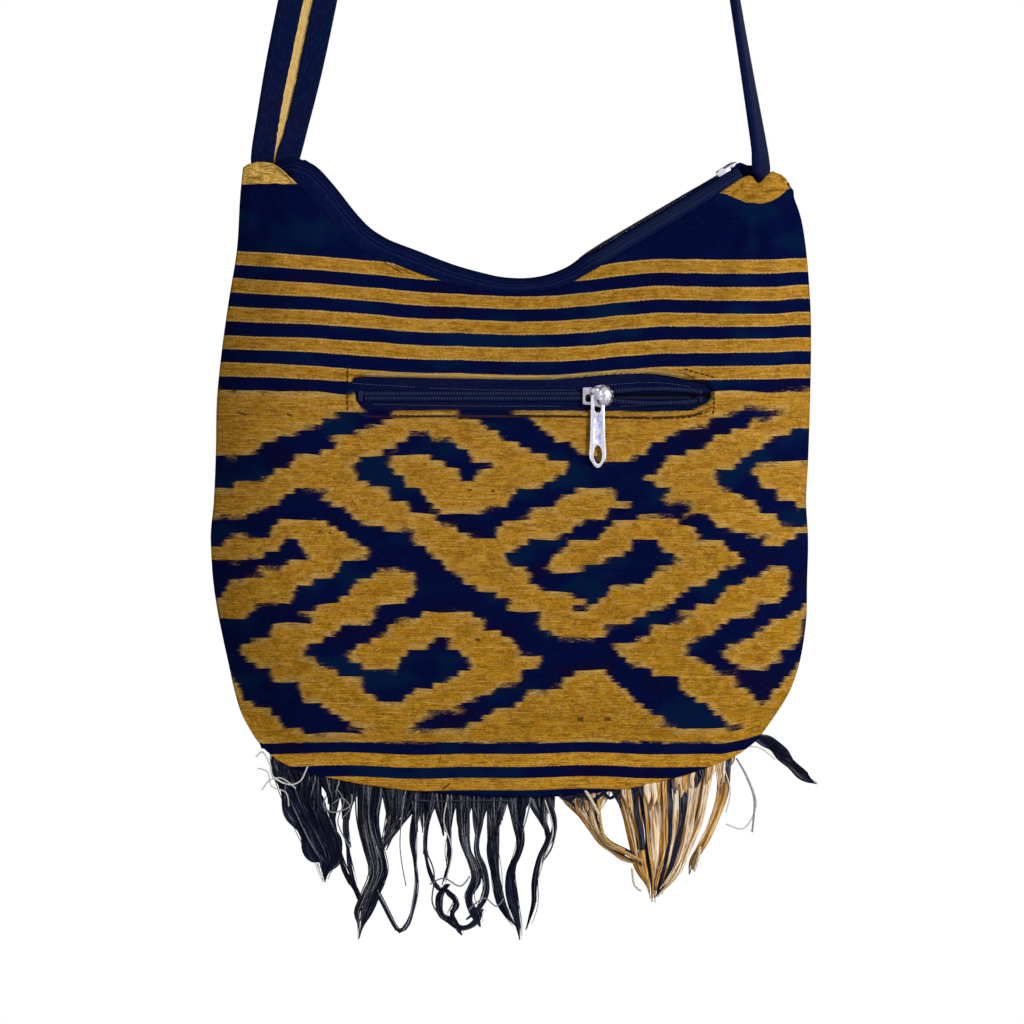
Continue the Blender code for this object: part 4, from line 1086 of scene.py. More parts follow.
def make_active(made: bpy.types.Object) -> None:
    """Selects one object alone."""
    bpy.ops.object.select_all(action="DESELECT")
    made.select_set(True)
    bpy.context.view_layer.objects.active = made


def bag_points(made: bpy.types.Object) -> np.ndarray:
    """A piece's points in the bag's millimetres."""
    return np.array([v.co for v in made.data.vertices]) * 1000.0 + (CREST_X, 0.0, FRAME_TOP)


def hand_over(made: bpy.types.Object, body: str, slot: str, *nodes: str) -> bpy.types.Object:
    """Hides the CAD nodes that a piece stands for and hangs it on the body that carries it.

    Args:
        made: the piece.
        body: the body that carries it.
        slot: not used.
        nodes: the nodes that it stands for.

    Returns:
        The same piece.
    """
    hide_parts(*nodes)
    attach(made, body)
    return made


def dress(made: bpy.types.Object, material: bpy.types.Material, degrees: float = 38.0) -> bpy.types.Object:
    """Gives a rigid piece its one finish and keeps edges sharper than an angle crisp."""
    made.data.materials.clear()
    made.data.materials.append(material)
    make_active(made)
    bpy.ops.object.shade_smooth_by_angle(angle=math.radians(degrees))
    return made


def apply_all(made: bpy.types.Object) -> bpy.types.Object:
    """Applies every modifier of a piece."""
    make_active(made)
    for modifier in list(made.modifiers):
        bpy.ops.object.modifier_apply(modifier=modifier.name)
    return made


def thicken(made: bpy.types.Object, millimetres: float, offset: float = -1.0) -> bpy.types.Object:
    """Gives a sheet its thickness on the inner side.

    Args:
        made: the sheet.
        millimetres: how thick it gets.
        offset: -1 grows it inwards and 1 outwards.

    Returns:
        The same piece.
    """
    solid = made.modifiers.new("thickness", "SOLIDIFY")
    solid.thickness = millimetres / 1000.0
    solid.offset = offset
    return apply_all(made)


def round_edges(made: bpy.types.Object, millimetres: float, segments: int, degrees: float) -> None:
    """Rounds the edges that are sharper than an angle.

    Args:
        made: the piece.
        millimetres: how far they are rounded.
        segments: how many faces the rounding has.
        degrees: the angle.
    """
    modifier = made.modifiers.new("edges", "BEVEL")
    modifier.width = millimetres / 1000.0
    modifier.segments = segments
    modifier.limit_method = "ANGLE"
    modifier.angle_limit = math.radians(degrees)
    apply_all(made)


def merged_copy(node: str, name: str) -> bpy.types.Object:
    """A copy of a CAD node with its doubles merged, left in edit mode with all of it selected."""
    source = bpy.data.objects[node]
    made = source.copy()
    made.data = source.data.copy()
    made.name = name
    bpy.context.scene.collection.objects.link(made)
    make_active(made)
    bpy.ops.object.mode_set(mode="EDIT")
    bpy.ops.mesh.select_all(action="SELECT")
    bpy.ops.mesh.remove_doubles(threshold=0.00001)
    return made


def grid_faces(rows: int, columns: int, closed: bool = False, flip: bool = False) -> list:
    """The faces of a grid of points, row after row.

    Args:
        rows: how many rows of points there are.
        columns: how many points a row has.
        closed: whether each row is a ring.
        flip: whether the faces turn the other way.

    Returns:
        Four point numbers a face.
    """
    faces = []
    for r in range(rows - 1):
        for c in range(columns if closed else columns - 1):
            after = (c + 1) % columns
            face = (r * columns + c, r * columns + after, (r + 1) * columns + after, (r + 1) * columns + c)
            faces.append(face[::-1] if flip else face)
    return faces


def outward(made: bpy.types.Object) -> bpy.types.Object:
    """Turns a closed piece's faces outwards."""
    shape = bmesh.new()
    shape.from_mesh(made.data)
    bmesh.ops.recalc_face_normals(shape, faces=shape.faces)
    if shape.calc_volume(signed=True) < 0:
        bmesh.ops.reverse_faces(shape, faces=shape.faces)
    shape.to_mesh(made.data)
    shape.free()
    return made


class Tubes:
    """Gathers many thin tubes, such as yarns and stitches, into one mesh."""

    def __init__(self, sides: int = 6) -> None:
        """Starts with no tubes."""
        self.sides = sides
        self.points: list[np.ndarray] = []
        self.uvs: list[np.ndarray] = []
        self.tones: list[np.ndarray] = []
        self.faces: list[tuple] = []
        self.count = 0

    def add(self, line: np.ndarray, radii: np.ndarray | float, tone: float = 0.5, flat: float = 1.0) -> None:
        """Adds one tube with closed ends.

        Args:
            line: the points of its middle line in the bag's millimetres.
            radii: its radius, or one a point.
            tone: how light its colour is, from 0 to 1.
            flat: its depth as a share of its width.
        """
        count = len(line)
        radii = np.broadcast_to(np.asarray(radii, float), (count,))
        tangent = np.gradient(line, axis=0)
        tangent /= np.maximum(np.linalg.norm(tangent, axis=1, keepdims=True), 1e-9)
        guide = np.tile((0.0, 1.0, 0.0), (count, 1))
        side = np.cross(tangent, guide)
        weak = np.linalg.norm(side, axis=1) < 0.2
        side[weak] = np.cross(tangent[weak], (1.0, 0.0, 0.0))
        side /= np.linalg.norm(side, axis=1, keepdims=True)
        up = np.cross(side, tangent)
        turns = np.arange(self.sides + 1) / self.sides
        ring = (side[:, None] * np.cos(turns * 2 * math.pi)[None, :, None]
                + up[:, None] * flat * np.sin(turns * 2 * math.pi)[None, :, None])
        skin = (line[:, None] + ring[:, :-1] * radii[:, None, None]).reshape(-1, 3)
        run = lengths_along(line) / 1000.0
        share = np.minimum(turns[:-1], 1.0 - turns[:-1]) * 2.0
        uv = np.stack([np.tile(share, count), np.repeat(run, self.sides)], axis=1)
        start = self.count
        self.points.append(np.vstack([skin, line[0], line[-1]]))
        self.uvs.append(np.vstack([uv, (0.0, 0.0), (0.0, run[-1])]))
        self.tones.append(np.full(len(skin) + 2, tone))
        for face in grid_faces(count, self.sides, closed=True, flip=True):
            self.faces.append(tuple(start + k for k in face))
        first, last = start + len(skin), start + len(skin) + 1
        base = start + (count - 1) * self.sides
        for s in range(self.sides):
            after = (s + 1) % self.sides
            self.faces.append((first, start + s, start + after))
            self.faces.append((last, base + after, base + s))
        self.count += len(skin) + 2

    def stitches(self, line: np.ndarray, pitch: float = 2.6, radius: float = 0.3, tone: float = 0.5) -> None:
        """Adds hand stitches along a line, each bowed off the cloth.

        Args:
            line: points on the cloth in the bag's millimetres.
            pitch: the length of a stitch with its gap.
            radius: the thread's radius.
            tone: how light the thread is.
        """
        swell = np.array((0.55, 0.95, 1.0, 1.0, 1.0, 0.95, 0.55))
        lift = np.sin(np.linspace(0.0, math.pi, len(swell))) * radius * 0.9
        steps = len(swell) + 1
        count = max(int(round(lengths_along(line)[-1] / pitch)), 1)
        fine = even(line, count * steps + 1)
        for i in range(count):
            part = fine[i * steps: i * steps + len(swell)].copy()
            part[:, 1] += np.sign(part[:, 1].mean() or -1.0) * (lift - radius * 0.4)
            self.add(part, radius * swell, tone)

    def build(self, name: str, material: bpy.types.Material) -> bpy.types.Object:
        """Makes the piece.

        Args:
            name: the piece's name.
            material: its finish.

        Returns:
            The piece.
        """
        made = new_piece(name, np.vstack(self.points), self.faces, material, np.vstack(self.uvs))
        keep_value(made, "tone", np.concatenate(self.tones))
        return outward(made)


class Side(Enum):
    """The two sides of the bag, by the sign of their y."""

    FRONT = -1
    BACK = 1

    @property
    def word(self) -> str:
        """The side as it stands in the names of pieces and nodes."""
        return self.name.lower()


def camera_grid(points: np.ndarray) -> tuple[np.ndarray, np.ndarray]:
    """The grid column and row at which points appear from straight in front.

    Args:
        points: points in the bag's millimetres.

    Returns:
        Their columns and rows.
    """
    nearer = VIEW_DISTANCE / (VIEW_DISTANCE + points[..., 1])
    columns = VIEW_MIDDLE + (points[..., 0] - across(VIEW_MIDDLE)) / GRID * nearer
    rows = VIEW_MIDDLE - (points[..., 2] - height(VIEW_MIDDLE)) / GRID * nearer
    return columns, rows


@dataclass
class ClothPanel:
    """One patterned panel of the bag, with the slit of the pocket in the front one."""

    side: Side
    material: bpy.types.Material
    columns: int = 205
    rows: int = 198
    cloth: float = 1.0
    lip_roll: float = 1.5
    lip_puff: float = 0.55
    slit_depth: float = 17.0
    slit_distance: np.ndarray | None = None

    def surface(self) -> np.ndarray:
        """The panel's outside before any fold, as rows of points from the bottom seam up."""
        notch = FRONT_NOTCH if self.side is Side.FRONT else BACK_NOTCH
        top = FORM.top_edge(notch)
        s = np.linspace(0.0, 1.0, self.columns)[None, :]
        t = np.linspace(0.0, 1.0, self.rows)[:, None]
        left, right = even(LEFT_EDGE, self.rows), even(RIGHT_EDGE, self.rows)
        low_x = LEFT_EDGE[0, 0] + s * (RIGHT_EDGE[0, 0] - LEFT_EDGE[0, 0])
        low_z = np.interp(low_x, BOTTOM_EDGE[:, 0], BOTTOM_EDGE[:, 1])
        top_x = LEFT_EDGE[-1, 0] + s * (RIGHT_EDGE[-1, 0] - LEFT_EDGE[-1, 0])
        top_z = np.interp(top_x, top[:, 0], top[:, 1])
        spots = []
        for axis, low, high in ((0, low_x, top_x), (1, low_z, top_z)):
            corners = ((1 - s) * ((1 - t) * LEFT_EDGE[0, axis] + t * LEFT_EDGE[-1, axis])
                       + s * ((1 - t) * RIGHT_EDGE[0, axis] + t * RIGHT_EDGE[-1, axis]))
            spots.append((1 - s) * left[:, axis][:, None] + s * right[:, axis][:, None]
                         + (1 - t) * low + t * high - corners)
        x, z = spots
        out = FORM.depth(x, z)
        rim = FORM.seam_depth + FORM.bottom_extra * np.clip(1.0 - t[:, 0] * 7.0, 0.0, 1.0)
        out[:, 0], out[:, -1] = rim, rim
        out += self.folds(x, z, s, t)
        return np.stack([x, self.side.value * out, z], axis=-1)

    def folds(self, x: np.ndarray, z: np.ndarray, s: np.ndarray, t: np.ndarray) -> np.ndarray:
        """Soft waves where the hanging cloth pulls from its corners and sags over its seam.

        Args:
            x: places across the bag.
            z: heights of the same places.
            s: share across, from 0 to 1.
            t: share up, from 0 to 1.

        Returns:
            How far the cloth stands out or in, in millimetres.
        """
        inner = smooth(s / 0.06) * smooth((1 - s) / 0.06) * smooth(t / 0.06) * smooth((1 - t) / 0.06)
        waves = 0.35 * np.sin(x / 17.0 + z / 41.0) + 0.3 * np.sin(x / 31.0 - z / 23.0 + 1.3)
        for corner_x, corner_z, turn in ((-112.0, 270.0, 5.0), (108.0, 266.0, 6.0)):
            away = np.hypot(x - corner_x, z - corner_z)
            angle = np.arctan2(z - corner_z, x - corner_x)
            waves = waves + 0.9 * np.sin(angle * turn * 1.7 + 0.6) * np.exp(-((away - 34.0) / 26.0) ** 2)
        return waves * inner

    def cut_slit(self, points: np.ndarray, faces: list) -> tuple[np.ndarray, list]:
        """Opens the slit: takes out the faces inside it and rolls the cloth's edge back into the opening.

        Args:
            points: the panel's points.
            faces: its faces.

        Returns:
            The moved points and the faces that stay.
        """
        nearer = VIEW_DISTANCE / (VIEW_DISTANCE - self.slit_depth)
        middle = np.array(at(VIEW_MIDDLE, VIEW_MIDDLE))
        loop = middle + (rounded([*SLIT_WINDOW, SLIT_WINDOW[0]], 5)[:-1] - middle) / nearer
        outline = [tuple(p) for p in loop]
        away = signed_distance(outline, points[:, 0], points[:, 2])
        corners = np.array(faces)
        centres = points[corners].mean(axis=1)
        keep = signed_distance(outline, centres[:, 0], centres[:, 2]) > 0.0
        kept = corners[keep]
        edge_points = np.intersect1d(np.unique(kept), np.unique(corners[~keep]))
        after = np.roll(loop, -1, axis=0)
        for index in edge_points:
            spot = points[index, [0, 2]]
            span = after - loop
            share = np.clip(((spot - loop) * span).sum(1) / (span**2).sum(1), 0.0, 1.0)
            near = loop + span * share[:, None]
            points[index, [0, 2]] = near[np.argmin(((near - spot) ** 2).sum(1))]
            away[index] = 0.0
        self.slit_distance = away.copy()
        away = np.maximum(away, 0.0)
        roll = np.clip(1.0 - away / self.lip_roll, 0.0, 1.0)
        back = self.lip_roll * (1.0 - np.sqrt(np.maximum(1.0 - roll**2, 0.0)))
        puff = self.lip_puff * np.exp(-((away - 2.2) / 1.5) ** 2)
        groove = 0.35 * np.exp(-((away - 4.6) / 0.8) ** 2)
        points[:, 1] += back - puff + groove
        return points, [tuple(face) for face in kept]

    def build(self) -> bpy.types.Object:
        """Makes the panel."""
        front = self.side is Side.FRONT
        points = self.surface().reshape(-1, 3)
        faces = grid_faces(self.rows, self.columns, flip=not front)
        if front:
            points, faces = self.cut_slit(points, faces)
        columns, rows = camera_grid(points)
        if not front:
            columns = GRID_SIZE - 1.0 - columns
        dyed = PatternField(() if front else BACK_FILL)
        pattern, slope = dyed.read(columns, rows)
        slit = self.slit_distance if front else np.full(len(points), FAR_FROM_SLIT)
        uv = np.stack([columns, straight_rows(columns, rows)], axis=1) / GRID_SIZE
        made = new_piece(f"{self.side.word}_cloth", points, faces, self.material, uv)
        for name, values in (("pattern", pattern), ("pattern_slope", slope),
                             ("corner", dyed.corners(columns, rows)), ("slit", slit)):
            keep_value(made, name, values)
        clean = bmesh.new()
        clean.from_mesh(made.data)
        bmesh.ops.delete(clean, geom=[v for v in clean.verts if not v.link_faces], context="VERTS")
        clean.to_mesh(made.data)
        clean.free()
        thicken(made, self.cloth)
        return hand_over(made, "bag", "woven_cloth", f"{self.side.word}_panel")


@dataclass
class ShoulderStrap:
    """The long folded band from the left corner over the crest to the right corner."""

    material: bpy.types.Material
    width: float = 26.0
    thick: float = 3.2
    crest_radius: float = 10.0
    rise: float = 564.8
    rings: int = 620
    ring_step: int = 12
    inset_growth: tuple = ((8.0, 13.0, 17.5, 22.0, 31.0, 46.0, 85.0, 200.0),
                           (0.2, 0.45, 0.85, 1.25, 1.75, 2.25, 2.05, 1.9))

    def stations(self) -> np.ndarray:
        """Points along the band: x, z, turn in degrees, width and thickness."""
        crest_z = NOTCH_Z + self.rise
        left_x = across(275.0)
        foot = (FRONT_NOTCH + BACK_NOTCH) / 2
        spots = [(left_x + x, NOTCH_Z + up, 90, width, thick) for x, up, width, thick in (
            (-4.2, -14.2, 11.0, 2.4), (-3.2, -5.2, 14.0, 2.8), (-0.5, 5.3, 20.0, 3.0),
            (0.1, 11.8, 22.0, self.thick), (3.2, 26.8, 23.6, self.thick))]
        base = np.array((left_x, NOTCH_Z + 10.4))
        top = np.array((CREST_X - self.crest_radius, crest_z - self.crest_radius))
        for share, turn in ((0.09, 90), (0.2, 88), (0.32, 80), (0.44, 66), (0.56, 48), (0.68, 30), (0.8, 14),
                            (0.9, 5)):
            x, z = base + (top - base) * share
            spots.append((x, z, turn, self.width, self.thick))
        for degrees in (-90, -62, -40, -20, 0, 20, 40, 62, 90):
            turn = math.radians(degrees)
            spots.append((CREST_X + self.crest_radius * math.sin(turn),
                          crest_z - self.crest_radius * (1 - math.cos(turn)), 0, self.width, self.thick))
        base = np.array((foot + 0.4, NOTCH_Z + 8.8))
        top = np.array((CREST_X + self.crest_radius, crest_z - self.crest_radius))
        for share, turn in ((0.15, 1), (0.4, 3), (0.7, 5), (0.88, 8)):
            x, z = top + (base - top) * share
            spots.append((x, z, turn, self.width, self.thick))
        spots += [(foot + x, NOTCH_Z + up, turn, width, thick) for x, up, turn, width, thick in (
            (-1.1, 19.8, 14, 24.5, self.thick), (0.1, 9.8, 17, 23.5, self.thick),
            (0.4, 5.2, 18, 21.5, self.thick), (0.5, 1.6, 16, 11.6, 2.8), (0.5, -12.2, 14, 10.6, 2.6))]
        line = rounded(spots, 24)
        run = lengths_along(line[:, :2])
        goals = np.linspace(0.0, run[-1], self.rings)
        return np.stack([np.interp(goals, run, line[:, k]) for k in range(5)] + [goals], axis=1)

    def section(self, half: float, thick: float, left: float, right: float) -> tuple[np.ndarray, np.ndarray]:
        """The folded band's outline: the two folded edges leave a lighter inset between them.

        Args:
            half: half the width.
            thick: half the thickness.
            left: how far the left fold stops from the middle.
            right: how far the right fold stops from the middle.

        Returns:
            Points across and out, and whether each lies on the inset.
        """
        def fold(gap: float) -> list[Pair]:
            """The front of the left fold, from the band's edge to gap before the middle."""
            return [(-half, -0.15 * thick), (-half + 0.25, -0.62 * thick), (-half + 0.9, -0.93 * thick),
                    (-half + 2.2, -thick), (-half * 0.6, -thick * 0.95), (-half * 0.35, -thick),
                    (-gap - 1.1, -thick * 1.02), (-gap - 0.35, -thick), (-gap, -thick * 0.82)]

        def mirrored(outline: list[Pair]) -> list[Pair]:
            """The same outline on the other side, in the other order."""
            return [(-x, out) for x, out in reversed(outline)]

        inset = [(-left + 0.12, -thick * 0.42), (-left * 0.4, -thick * 0.5), (right * 0.4, -thick * 0.5),
                 (right - 0.12, -thick * 0.42)]
        under = [(half, 0.3 * thick), (half - 0.4, 0.8 * thick), (half - 1.4, thick),
                 (half * 0.6, thick * 0.96), (half * 0.3, thick)]
        edge = fold(left)
        points = np.array(edge + inset + mirrored(fold(right)) + under + [(0.0, thick)] + mirrored(under))
        lit = np.zeros(len(points))
        lit[len(edge):len(edge) + len(inset)] = 1.0
        return points, lit

    def build(self) -> bpy.types.Object:
        """Makes the strap."""
        chance = np.random.default_rng(7)
        stations = self.stations()
        centres = np.stack([stations[:, 0], np.zeros(self.rings), stations[:, 1]], axis=1)
        tangents = np.gradient(centres, axis=0)
        tangents /= np.linalg.norm(tangents, axis=1, keepdims=True)
        knots = np.arange(0, self.rings + self.ring_step, self.ring_step)
        drawn = self.rings // self.ring_step + 2
        wobble = [np.interp(np.arange(self.rings), knots, chance.normal(0.0, 0.32, drawn)) for _ in range(2)]
        fine = chance.normal(0.0, 0.1, (2, self.rings))
        points, uvs, gold = [], [], []
        for i in range(self.rings):
            _, z, turn, width, thick, run = stations[i]
            turn = math.radians(turn)
            over = np.array((math.sin(turn), math.cos(turn), 0.0))
            over -= tangents[i] * over.dot(tangents[i])
            over /= np.linalg.norm(over)
            out = np.cross(tangents[i], over)
            spread = float(np.interp(z - NOTCH_Z, *self.inset_growth))
            gaps = [max(spread + (wobble[k][i] + fine[k][i]) * min(spread, 1.0), 0.16) for k in range(2)]
            section, lit = self.section(width / 2, thick / 2, *gaps)
            points.append(centres[i] + section[:, :1] * over + section[:, 1:] * out)
            uvs.append(np.stack([section[:, 0] / 1000.0, np.full(len(section), run / 1000.0)], axis=1))
            gold.append(lit)
        count = len(points[0])
        faces = grid_faces(self.rings, count, closed=True)
        faces.append(tuple(range(count)))
        faces.append(tuple(range((self.rings - 1) * count, self.rings * count)))
        made = new_piece("shoulder_strap", np.vstack(points), faces, self.material, np.vstack(uvs))
        keep_value(made, "gold", np.concatenate(gold))
        return hand_over(outward(made), "bag", "navy_webbing", "strap")


@dataclass
class StitchRows:
    """Rows of hand stitches that lie on the front cloth, round the slit and over its ends."""

    threads: dict[str, bpy.types.Material]
    cloth: bpy.types.Object

    def on_front(self, points: Points, lift: float = 0.15, steps: int = 8) -> np.ndarray:
        """A line on the front cloth's outside, found by looking at the cloth from the front.

        Args:
            points: grid points as they are seen from straight in front.
            lift: how far the line lies off the cloth.
            steps: how many pieces each stretch is cut into.

        Returns:
            The line's points.
        """
        eye = np.array((across(VIEW_MIDDLE), -VIEW_DISTANCE, height(VIEW_MIDDLE)))
        found = []
        for x, z in rounded(on_grid(points), steps):
            goal = np.array((x, 0.0, z))
            start, after = place(eye), place(goal)
            hit, spot, _, _ = self.cloth.ray_cast(Vector(start), Vector(after - start).normalized())
            if hit:
                found.append(np.array(spot) * 1000.0 + (CREST_X, -lift, FRAME_TOP))
        return np.array(found)

    def build(self) -> list[bpy.types.Object]:
        """Makes the stitches round the slit and over the corners."""
        brown, pale = Tubes(5), Tubes(5)
        for points in (((393, 415.2), (420, 415.8), (458, 416)), ((520, 415.6), (550, 415.8), (584, 416)),
                       ((604, 417.6), (650, 418.4), (685, 417.6), (699, 414.5), (710, 411))):
            brown.stitches(self.on_front(points, 0.12), tone=0.3)
        brown.stitches(self.on_front(((684, 369), (698, 373), (716, 378)), 0.12), tone=0.2)
        for points in (((347.5, 366), (347.7, 374), (347.5, 384)), ((347.5, 395), (347.2, 403), (347.5, 412)),
                       ((713.5, 392), (714, 404), (713, 415))):
            brown.stitches(self.on_front(points), 2.2, tone=0.35)
        lip = ((366, 372.6), (410, 374.0), (460, 376.6), (520, 377.6), (560, 376.2), (600, 373.2),
               (640, 369.8), (665, 370.6), (690, 374))
        pale.stitches(self.on_front(lip, 0.08), 2.4, 0.14, 0.75)
        made = [brown.build("slit_stitches", self.threads["brown"]),
                pale.build("lip_stitches", self.threads["pale"])]
        for piece in made:
            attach(piece, "bag")
        return made


class HandModelled:
    """Small pieces that start from a primitive and are shaped with Blender's own tools."""

    @staticmethod
    def block(name: str, size: tuple, bevel: float, segments: int = 2) -> bpy.types.Object:
        """A block with rounded edges, centred on the origin.

        Args:
            name: its name.
            size: its lengths in millimetres.
            bevel: how far its edges are rounded, in millimetres.
            segments: how many faces the rounding has.

        Returns:
            The block, in millimetres.
        """
        bpy.ops.object.select_all(action="DESELECT")
        bpy.ops.mesh.primitive_cube_add(size=1.0)
        made = bpy.context.active_object
        made.name = name
        made.scale = size
        bpy.ops.object.transform_apply(location=False, rotation=False, scale=True)
        bpy.ops.object.mode_set(mode="EDIT")
        bpy.ops.mesh.select_all(action="SELECT")
        bpy.ops.mesh.bevel(offset=bevel, segments=segments, profile=0.7)
        bpy.ops.object.mode_set(mode="OBJECT")
        return made

    @staticmethod
    def plate(name: str, outline: Points, front: float, back: float, bevel: float = 0.0) -> bpy.types.Object:
        """A flat plate that is pushed out from its outline, in the row frame.

        Args:
            name: its name.
            outline: the outline's x and z in the bag's millimetres.
            front: the y of its front face.
            back: the y of its back face.
            bevel: how far its edges are rounded, in millimetres.

        Returns:
            The plate.
        """
        bpy.ops.object.select_all(action="DESELECT")
        mesh = bpy.data.meshes.new(name)
        corners = np.array([(x, front, z) for x, z in outline])
        mesh.from_pydata(place(corners).tolist(), [], [tuple(range(len(corners)))])
        made = bpy.data.objects.new(name, mesh)
        bpy.context.scene.collection.objects.link(made)
        make_active(made)
        bpy.ops.object.mode_set(mode="EDIT")
        bpy.ops.mesh.select_all(action="SELECT")
        push = (0.0, (back - front) / 1000.0, 0.0)
        bpy.ops.mesh.extrude_region_move(TRANSFORM_OT_translate={"value": push})
        bpy.ops.mesh.select_all(action="SELECT")
        bpy.ops.mesh.normals_make_consistent(inside=False)
        bpy.ops.object.mode_set(mode="OBJECT")
        if bevel:
            round_edges(made, bevel, 3, 30.0)
        return made

    @staticmethod
    def cushion(name: str, centre: tuple, radii: tuple, lean: float = 0.0) -> bpy.types.Object:
        """A domed lump, in the row frame.

        Args:
            name: its name.
            centre: its middle in the bag's millimetres.
            radii: its half lengths across, out and up.
            lean: how far it is turned in the front's plane, in degrees.

        Returns:
            The lump.
        """
        bpy.ops.object.select_all(action="DESELECT")
        bpy.ops.mesh.primitive_uv_sphere_add(segments=28, ring_count=16, radius=1.0)
        made = bpy.context.active_object
        made.name = name
        made.scale = tuple(radius / 1000.0 for radius in radii)
        made.rotation_euler = (0.0, math.radians(lean), 0.0)
        made.location = tuple(place(np.array(centre)))
        bpy.ops.object.transform_apply(location=True, rotation=True, scale=True)
        return made

    @staticmethod
    def carve(made: bpy.types.Object, tool: bpy.types.Object) -> None:
        """Takes a shape out of a piece and removes the shape."""
        modifier = made.modifiers.new("hollow", "BOOLEAN")
        modifier.operation = "DIFFERENCE"
        modifier.solver = "EXACT"
        modifier.object = tool
        apply_all(made)
        bpy.data.objects.remove(tool)

    @staticmethod
    def join(made: bpy.types.Object, others: Sequence[bpy.types.Object]) -> None:
        """Joins shapes into one piece."""
        bpy.ops.object.select_all(action="DESELECT")
        for other in (*others, made):
            other.select_set(True)
        bpy.context.view_layer.objects.active = made
        bpy.ops.object.join()

    @staticmethod
    def refined(node: str, name: str, bevel: float, material: bpy.types.Material, slot: str,
                body: str, hollows: Sequence[bpy.types.Object] = ()) -> bpy.types.Object:
        """A rigid CAD node with merged faces and worn, rounded edges.

        Args:
            node: the node that it stands for.
            name: the piece's name.
            bevel: how far the edges are rounded, in millimetres.
            material: its finish.
            slot: not used.
            body: the body that carries it.
            hollows: shapes that are taken out of it first.

        Returns:
            The piece.
        """
        made = merged_copy(node, name)
        bpy.ops.mesh.dissolve_limited(angle_limit=math.radians(2.0))
        bpy.ops.object.mode_set(mode="OBJECT")
        for tool in hollows:
            HandModelled.carve(made, tool)
        round_edges(made, bevel, 2, 28.0)
        return hand_over(dress(made, material), body, slot, node)


def stamp(name: str, model: bpy.types.Object, spots: Iterable[Matrix], material: bpy.types.Material
          ) -> bpy.types.Object:
    """Copies a small modelled shape to many places in one mesh.

    Args:
        name: the piece's name.
        model: the shape, in millimetres; it is removed.
        spots: where each copy goes, in the bag's millimetres.
        material: the finish.

    Returns:
        The piece.
    """
    points = np.array([v.co for v in model.data.vertices])
    faces = [tuple(face.vertices) for face in model.data.polygons]
    all_points, all_faces = [], []
    for i, spot in enumerate(spots):
        matrix = np.array(spot)
        all_points.append(points @ matrix[:3, :3].T + matrix[:3, 3])
        all_faces += [tuple(k + i * len(points) for k in face) for face in faces]
    bpy.data.objects.remove(model)
    return new_piece(name, np.vstack(all_points), all_faces, material)


def turned(origin: Sequence[float], *axes: Sequence[float]) -> Matrix:
    """The matrix that takes a shape's own axes to three given ones and puts it at a point."""
    matrix = Matrix.Identity(4)
    for column, axis in enumerate((*axes, origin)):
        matrix.col[column][:3] = axis
    return matrix


